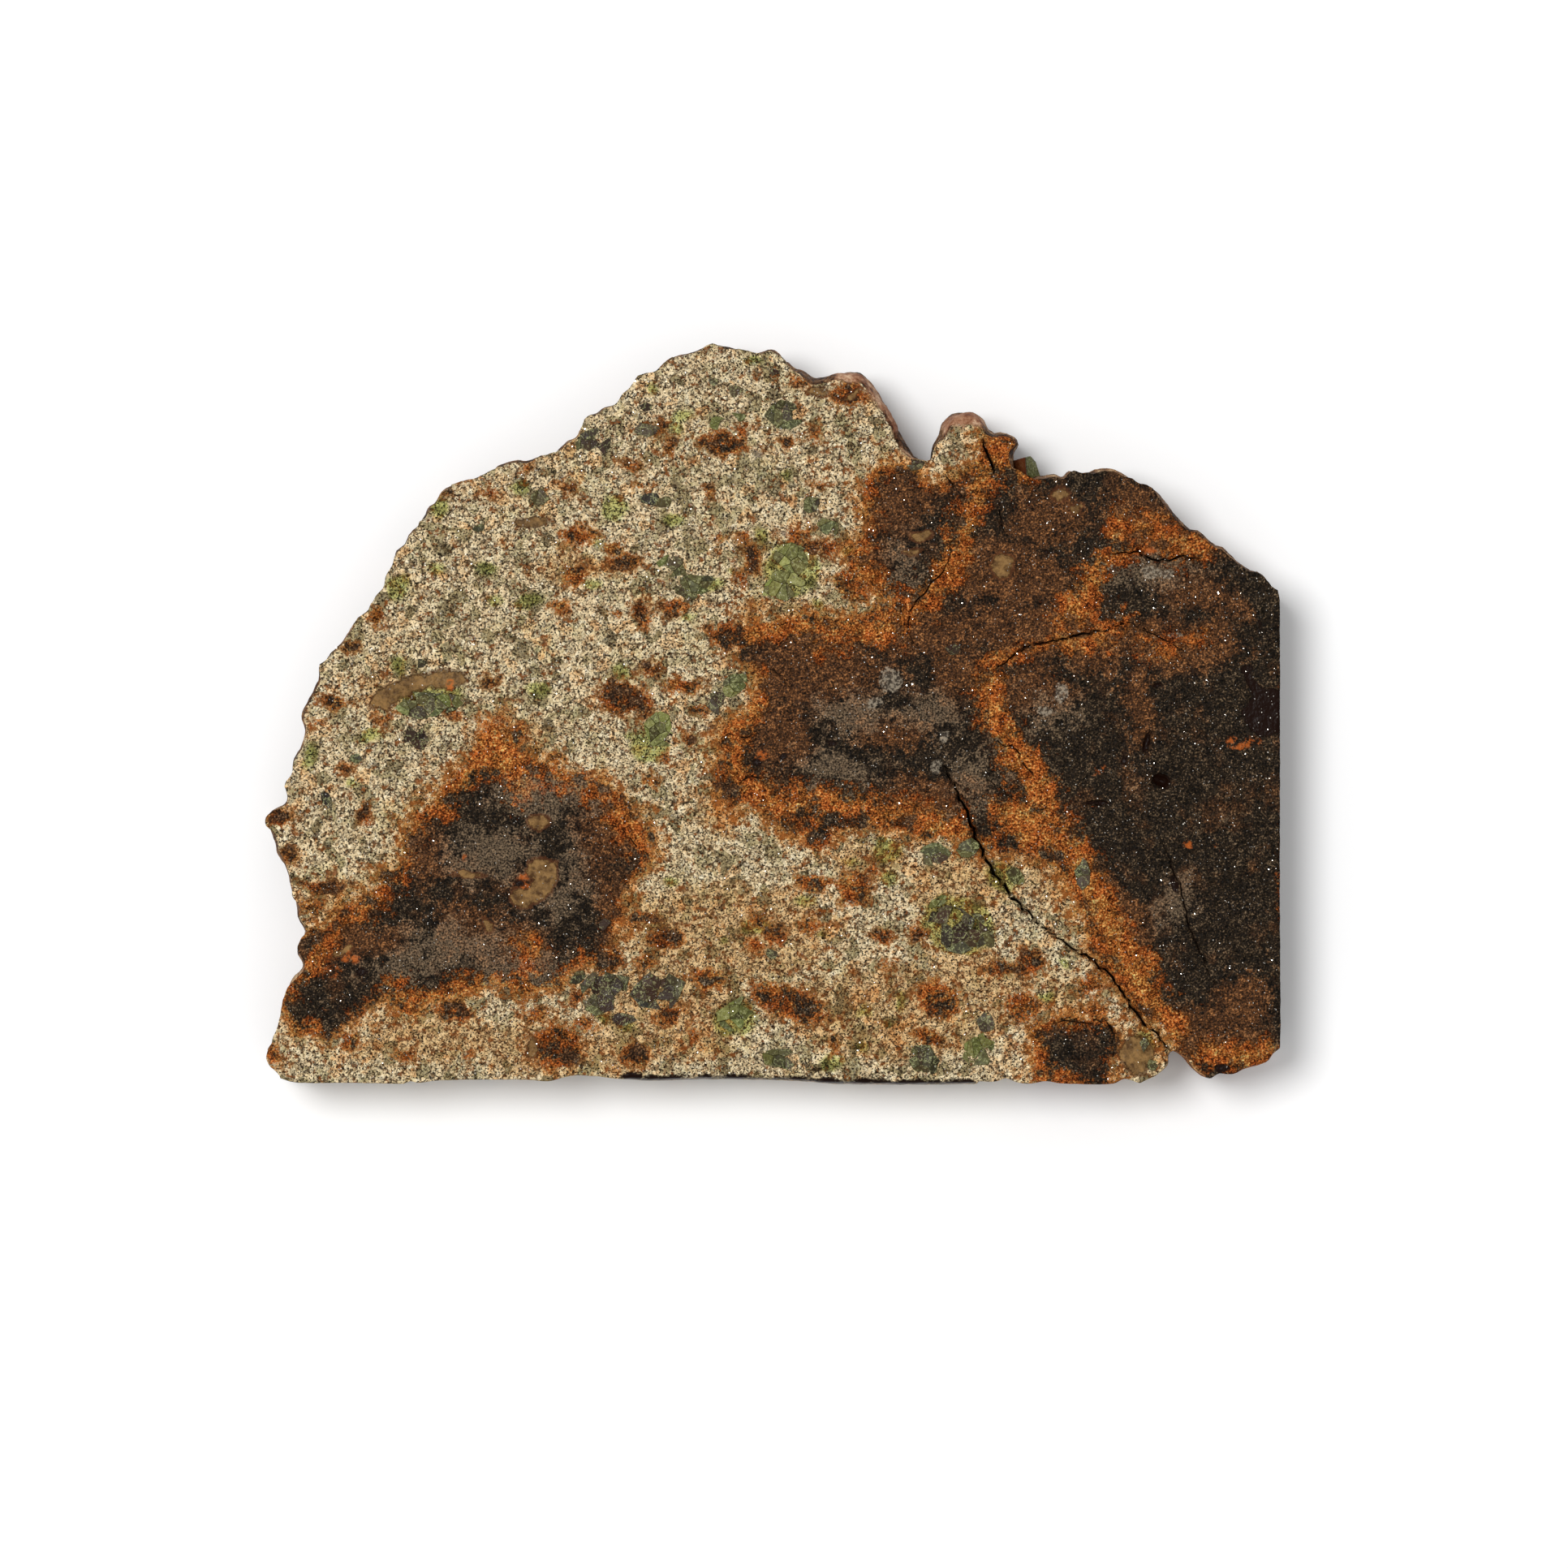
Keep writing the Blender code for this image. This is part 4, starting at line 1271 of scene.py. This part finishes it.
class Stone(Finish):
    """The stone, whose minerals follow the values kept at the points of a mesh."""

    def __init__(self):
        super().__init__("stone")
        self.shader.inputs["Specular IOR Level"].default_value = 0.06
        self.cloud = self.noise(0.0030, detail=6, roughness=0.68)
        self.patch = self.noise(0.0015, detail=5, roughness=0.65, shift=4)
        self.crumb = self.noise(0.0006, detail=4, roughness=0.70, shift=8)
        self.speck = self.noise(0.00024, detail=2, roughness=0.70, shift=12)
        self.mote = self.noise(0.00015, detail=1, roughness=0.60, shift=16)
        self.grain, self.grain_reach = self.cells(0.00028, "Color", "Distance")
        self.dust = self.cells(0.00015, "Color")[0]
        self.kind = self.cells(0.0010, "Color")[0]
        self.tint = self.value("tint")

    def zone(self, name, low, high, reach=10):
        """A share from 0 to 1 over the edge of a kept zone, broken up as far as the reach. In pixels."""
        depth = self.value(name)
        rough = self.sum("ADD", self.swing(self.patch, 1.2), self.swing(self.crumb, 1.0))
        rough = self.sum("ADD", rough, self.swing(self.cloud, 1.0))
        rough = self.sum("ADD", rough, self.swing(self.speck, 0.7))
        depth = self.sum("ADD", depth, self.sum("MULTIPLY", rough, 2 * reach / DEPTH_RANGE))
        return self.step(depth, low / DEPTH_RANGE, high / DEPTH_RANGE)

    def swing(self, noise_value, reach):
        """The noise as a swing to both sides of 0."""
        return self.sum("MULTIPLY", self.sum("SUBTRACT", noise_value, 0.5), reach)

    def over(self, share, strength, base, shade, kind="MIX"):
        """The shade over the base, at the share times the strength."""
        return self.mix(self.sum("MULTIPLY", share, strength), base, shade, kind)

    def pale_stone(self):
        """Sugary beige grains with dark gaps, and grey, greenish and pinkish parts."""
        base = self.ramp(
            self.grain,
            (0.0, colour(70, 52, 36)),
            (1.0, colour(254, 243, 216)),
            (0.13, colour(176, 150, 114)),
            (0.32, colour(230, 207, 168)),
            (0.7, colour(244, 225, 188)),
        )
        dust = self.ramp(self.dust, (0.0, colour(30, 24, 16)), (0.38, colour(255, 255, 255)))
        base = self.mix(0.85, base, dust, "MULTIPLY")
        kinds = self.sum("ADD", self.kind, self.swing(self.crumb, 0.7))
        tones = self.ramp(
            kinds,
            (0.0, colour(126, 120, 104)),
            (1.0, colour(222, 176, 134)),
            (0.20, colour(182, 180, 154)),
            (0.34, colour(244, 242, 232)),
            (0.70, colour(255, 250, 240)),
            (0.84, colour(252, 226, 194)),
        )
        base = self.mix(0.9, base, tones, "MULTIPLY")
        base = self.over(self.step(self.cloud, 0.53, 0.64), 0.25, base, colour(218, 226, 180), "MULTIPLY")
        base = self.over(self.step(self.patch, 0.54, 0.64), 0.30, base, colour(120, 104, 84))
        gap = self.step(self.grain_reach, 0.46, 0.70)
        gap = self.sum("MULTIPLY", gap, self.step(self.crumb, 0.42, 0.54))
        base = self.over(gap, 0.85, base, colour(52, 36, 22))
        base = self.over(self.step(self.mote, 0.56, 0.59), 0.95, base, colour(24, 17, 10))
        rusty = self.step(self.crumb, 0.585, 0.64)
        return self.over(rusty, 0.85, base, colour(126, 72, 30))

    def iron_stone(self, core, brown):
        """Rust and oxide: orange where it is fresh, and charcoal with brown clouds in the core."""
        # On the skin the tint is each grain's random share, which also lowers the low grains and sinks the pores,
        # so the darker colour it gives them here is partly painted shade; on the raised grains it is a random
        # tone.
        fine = self.sum("ADD", self.tint, 2.0)
        fine = self.sum("MULTIPLY", fine, 0.2)
        for field, reach in ((self.patch, 0.5), (self.crumb, 0.8), (self.speck, 0.9), (self.mote, 1.7)):
            fine = self.sum("ADD", fine, self.swing(field, reach))
        charcoal = self.ramp(
            fine,
            (0.0, colour(7, 5, 3)),
            (1.0, colour(132, 112, 88)),
            (0.3, colour(28, 22, 16)),
            (0.65, colour(52, 42, 31)),
        )
        browned = self.ramp(
            fine,
            (0.0, colour(20, 13, 8)),
            (1.0, colour(190, 132, 82)),
            (0.3, colour(64, 42, 26)),
            (0.65, colour(106, 70, 43)),
        )
        fresh = self.ramp(
            fine,
            (0.0, colour(30, 15, 6)),
            (1.0, colour(255, 238, 160)),
            (0.3, colour(126, 72, 32)),
            (0.65, colour(226, 142, 70)),
        )
        hues = self.ramp(self.patch, (0.40, colour(250, 216, 196)), (0.60, colour(250, 255, 242)))
        fresh = self.mix(1.0, fresh, hues, "MULTIPLY")
        brown = self.sum("MAXIMUM", brown, self.sum("MULTIPLY", self.step(self.cloud, 0.50, 0.66), 0.6))
        base = self.mix(core, fresh, self.mix(brown, charcoal, browned))
        dust = self.ramp(
            self.dust, (0.0, colour(96, 86, 76)), (1.0, colour(255, 255, 255)), (0.6, colour(222, 216, 208))
        )
        return self.mix(0.9, base, dust, "MULTIPLY")

    def weathered_crust(self):
        """The stone's old outside: mottled browns, dark in its pits and paler where it is worn."""
        worn = self.sum("ADD", self.swing(self.cloud, 2.0), 0.46)
        for field, reach in ((self.patch, 1.6), (self.crumb, 1.6), (self.speck, 1.2)):
            worn = self.sum("ADD", worn, self.swing(field, reach))
        return self.ramp(
            worn,
            (0.0, colour(26, 17, 11)),
            (1.0, colour(190, 160, 122)),
            (0.25, colour(60, 40, 27)),
            (0.5, colour(98, 68, 46)),
            (0.75, colour(142, 106, 74)),
        )

    def smooth_skin(self):
        """Worn smooth: pinkish tan with red-brown stains."""
        worn = self.sum("ADD", self.swing(self.cloud, 2.0), 0.5)
        for field, reach in ((self.patch, 1.2), (self.crumb, 0.9), (self.speck, 0.6)):
            worn = self.sum("ADD", worn, self.swing(field, reach))
        return self.ramp(
            worn,
            (0.0, colour(58, 30, 18)),
            (1.0, colour(206, 176, 146)),
            (0.35, colour(116, 68, 44)),
            (0.65, colour(160, 118, 90)),
        )

    def surface(self):
        """Colour, roughness and fine relief."""
        rust = self.zone("rust", -4, 5, reach=12)
        core = self.zone("dark", -9, 9, reach=34)
        tan = self.zone("tan", -1, 1.5, reach=4)
        glaze_and_ledge_shade = self.zone("glaze_and_ledge_shade", -2, 2, reach=4)
        smooth = self.zone("smooth", -4, 4, reach=6)
        outside = self.zone("outside", -4, 4, reach=14)
        base = self.pale_stone()
        base = self.over(self.zone("green", -3, 6, reach=5), 0.75, base, colour(184, 208, 128), "MULTIPLY")
        halo = self.zone("halo", -26, 4, reach=26)
        ochre = self.zone("ochre", -6, 22, reach=24)
        base = self.over(halo, 0.85, base, colour(226, 164, 78), "MULTIPLY")
        base = self.over(ochre, 0.45, base, colour(226, 180, 98), "MULTIPLY")
        stained = self.sum("MAXIMUM", halo, self.sum("MULTIPLY", ochre, 0.25))
        stained = self.sum("MULTIPLY", stained, self.step(self.crumb, 0.50, 0.56))
        base = self.over(stained, 0.75, base, colour(150, 88, 38))
        base = self.mix(rust, base, self.iron_stone(core, self.zone("brown", -14, 14, reach=30)))
        flour = self.ramp(self.mote, (0.36, colour(44, 35, 26)), (0.62, colour(156, 132, 104)))
        base = self.over(self.zone("grey", -11, 13, reach=50), 0.40, base, flour)
        metal = self.ramp(self.speck, (0.44, colour(66, 58, 49)), (0.58, colour(154, 142, 123)))
        base = self.over(self.zone("metal", -1, 2, reach=6), 0.72, base, metal)
        tans = self.ramp(self.crumb, (0.38, colour(74, 52, 29)), (0.62, colour(138, 106, 64)))
        base = self.over(self.zone("tan", -4.5, -1.5, reach=4), 0.65, base, colour(84, 48, 26))
        base = self.over(tan, 0.9, base, tans)
        red = self.sum("MULTIPLY", self.zone("red", -4, 3, reach=9), self.step(self.crumb, 0.44, 0.58))
        base = self.over(red, 0.65, base, colour(184, 92, 32))
        # Black-red glaze; along the lower ledge this is a painted shadow
        base = self.mix(glaze_and_ledge_shade, base, colour(24, 10, 5))
        base = self.mix(outside, base, self.weathered_crust())
        base = self.mix(smooth, base, self.smooth_skin())
        # Painted shade in and just beside the cracks, darkest along their middles.
        base = self.mix(self.step(self.value("crack"), 0.25, 0.9), base, colour(24, 14, 8))
        self.set("Base Color", base)
        dull = self.step(self.speck, 0.38, 0.62, 0.45, 0.85)
        self.set("Roughness", self.mix(glaze_and_ledge_shade, dull, (0.30, 0.30, 0.30, 1)))
        height = self.sum("ADD", self.sum("SUBTRACT", 1.0, self.grain_reach), self.speck)
        flat = self.sum("MAXIMUM", self.sum("MAXIMUM", tan, glaze_and_ledge_shade), smooth)
        flat = self.sum("MAXIMUM", self.sum("MULTIPLY", flat, 0.85), self.sum("MULTIPLY", core, 0.45))
        height = self.sum("MULTIPLY", height, self.sum("SUBTRACT", 1.0, flat))
        self.bump(height, 0.00020, 1.0)


def stone_material():
    stone_finish = Stone()
    stone_finish.surface()
    return stone_finish.material


def crystal_material():
    """Broken green silicate: charcoal green to pale yellow-green, with pale veins and dull clouds."""
    finish = Finish("crystal")
    body = finish.ramp(
        finish.value("hue"),
        (0.0, colour(38, 33, 25)),
        (1.0, colour(194, 188, 130)),
        (0.2, colour(66, 62, 48)),
        (0.42, colour(82, 86, 46)),
        (0.62, colour(118, 128, 62)),
        (0.8, colour(156, 162, 90)),
    )
    # Each shard is lighter or darker at random: partly its own tone, partly painted light and shade for facets
    # turned different ways.
    shade = finish.ramp(
        finish.value("tint"), (0.0, colour(92, 88, 76)), (1.0, colour(255, 253, 248))
    )
    body = finish.mix(0.9, body, shade, "MULTIPLY")
    crumb = finish.noise(0.0006, detail=4, roughness=0.70, shift=5)
    streak = finish.noise(0.00022, detail=2, roughness=0.6, shift=9)
    vein = finish.noise(0.0012, detail=3, roughness=0.6, shift=2)
    veins = finish.step(finish.sum("ABSOLUTE", finish.sum("SUBTRACT", vein, 0.5)), 0.003, 0.014, 0.5, 0)
    body = finish.mix(finish.step(crumb, 0.56, 0.62, 0, 0.35), body, colour(42, 38, 26))
    body = finish.mix(finish.step(streak, 0.56, 0.64, 0, 0.3), body, colour(196, 196, 140))
    body = finish.mix(finish.step(streak, 0.36, 0.44, 0.5, 0), body, colour(26, 23, 15))
    body = finish.mix(veins, body, colour(176, 180, 124))
    # Painted light on the shards' edges: a dark crystal's shards get a painted pale highlight along them, and a
    # pale one's get painted shade in the gaps between them.
    painted_rim_highlight_and_gap_shade = finish.ramp(
        finish.value("hue"), (0.0, colour(52, 48, 38)), (0.45, colour(40, 40, 22)), (0.2, colour(140, 142, 98))
    )
    body = finish.mix(finish.sum("MULTIPLY", finish.value("edge"), 0.6), body, painted_rim_highlight_and_gap_shade)
    body = finish.mix(finish.value("stain"), body, colour(92, 46, 22))
    finish.set("Base Color", body)
    finish.shader.inputs["Specular IOR Level"].default_value = 0.15
    finish.set("Roughness", finish.step(crumb, 0.35, 0.65, 0.25, 0.55))
    finish.bump(streak, 0.00010, 0.8)
    return finish.material


def metal_material():
    """Clean bright metal with a little tarnish."""
    finish = Finish("metal")
    tarnish = finish.noise(0.0005, detail=2, shift=3)
    finish.set(
        "Base Color",
        finish.ramp(tarnish, (0.35, colour(176, 166, 150)), (0.65, colour(242, 238, 230))),
    )
    finish.shader.inputs["Metallic"].default_value = 1.0
    finish.set("Roughness", finish.step(tarnish, 0.3, 0.7, 0.12, 0.35))
    return finish.material


# The scene


def add(name, mesh, material):
    """Puts a piece of the stone in the scene."""
    piece = bpy.data.objects.new(name, mesh)
    bpy.context.collection.objects.link(piece)
    mesh.materials.append(material)
    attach(piece, "root")
    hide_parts(NODE)
    return piece


def stone():
    """The whole slice."""
    outlines = crystal_outlines()
    lines = crack_lines()
    skin = skin_mesh(outlines, lines)
    rings, _, _ = side_rings()
    border = pixels_of(rings[0])
    stone_finish = stone_material()
    add("stone_skin", skin, stone_finish)
    add("grains", grains_mesh(border, outlines, lines), stone_finish)
    add("crystals", crystals_mesh(outlines), crystal_material())
    add("metal_flecks", flecks_mesh(border), metal_material())


FLOOR_SIZE = 4.0
FLOOR_SAG = 0.00002


def floor():
    """A plain white floor."""
    half = FLOOR_SIZE / 2
    corners = [(x, y, -FLOOR_SAG) for x, y in ((-half, -half), (half, -half), (half, half), (-half, half))]
    mesh = bpy.data.meshes.new("floor")
    mesh.from_pydata(corners, [], [(0, 1, 2, 3)])
    piece = bpy.data.objects.new("floor", mesh)
    bpy.context.collection.objects.link(piece)
    material = bpy.data.materials.new("floor")
    material.use_nodes = True
    shader = material.node_tree.nodes["Principled BSDF"]
    shader.inputs["Base Color"].default_value = (0.93, 0.93, 0.93, 1)
    shader.inputs["Roughness"].default_value = 0.9
    mesh.materials.append(material)


LIGHT_OFFSET = (-0.31, 0.17, 0.93)
LIGHT_SIZE = 0.42
LIGHT_POWER = 6.5
SKY_STRENGTH = 0.62


def lights():
    """One soft light high on the upper left, and an even white glow from all round."""
    data = bpy.data.lights.new("key", "AREA")
    data.shape = "DISK"
    data.size = LIGHT_SIZE
    data.energy = LIGHT_POWER
    key = bpy.data.objects.new("key", data)
    key.location = LIGHT_OFFSET
    key.rotation_euler = (-Vector(LIGHT_OFFSET)).to_track_quat("-Z", "Y").to_euler()
    bpy.context.collection.objects.link(key)
    world = bpy.data.worlds.new("studio")
    world.use_nodes = True
    glow = world.node_tree.nodes["Background"]
    glow.inputs["Color"].default_value = (1, 1, 1, 1)
    glow.inputs["Strength"].default_value = SKY_STRENGTH
    bpy.context.scene.world = world


LENS = 200
SENSOR = 36


def camera():
    """Looks straight down, over the picture's centre, with a long lens."""
    data = bpy.data.cameras.new("camera")
    data.lens = LENS
    data.sensor_width = SENSOR
    data.clip_end = 10
    piece = bpy.data.objects.new("camera", data)
    centre = place([(PICTURE_PX / 2, PICTURE_PX / 2)], THICKNESS)[0]
    distance = PICTURE_PX * PIXEL * LENS / SENSOR
    piece.location = (centre[0], centre[1], centre[2] + distance)
    bpy.context.collection.objects.link(piece)
    bpy.context.scene.camera = piece


camera()
lights()
floor()
stone()
bpy.context.scene.view_settings.view_transform = "Standard"
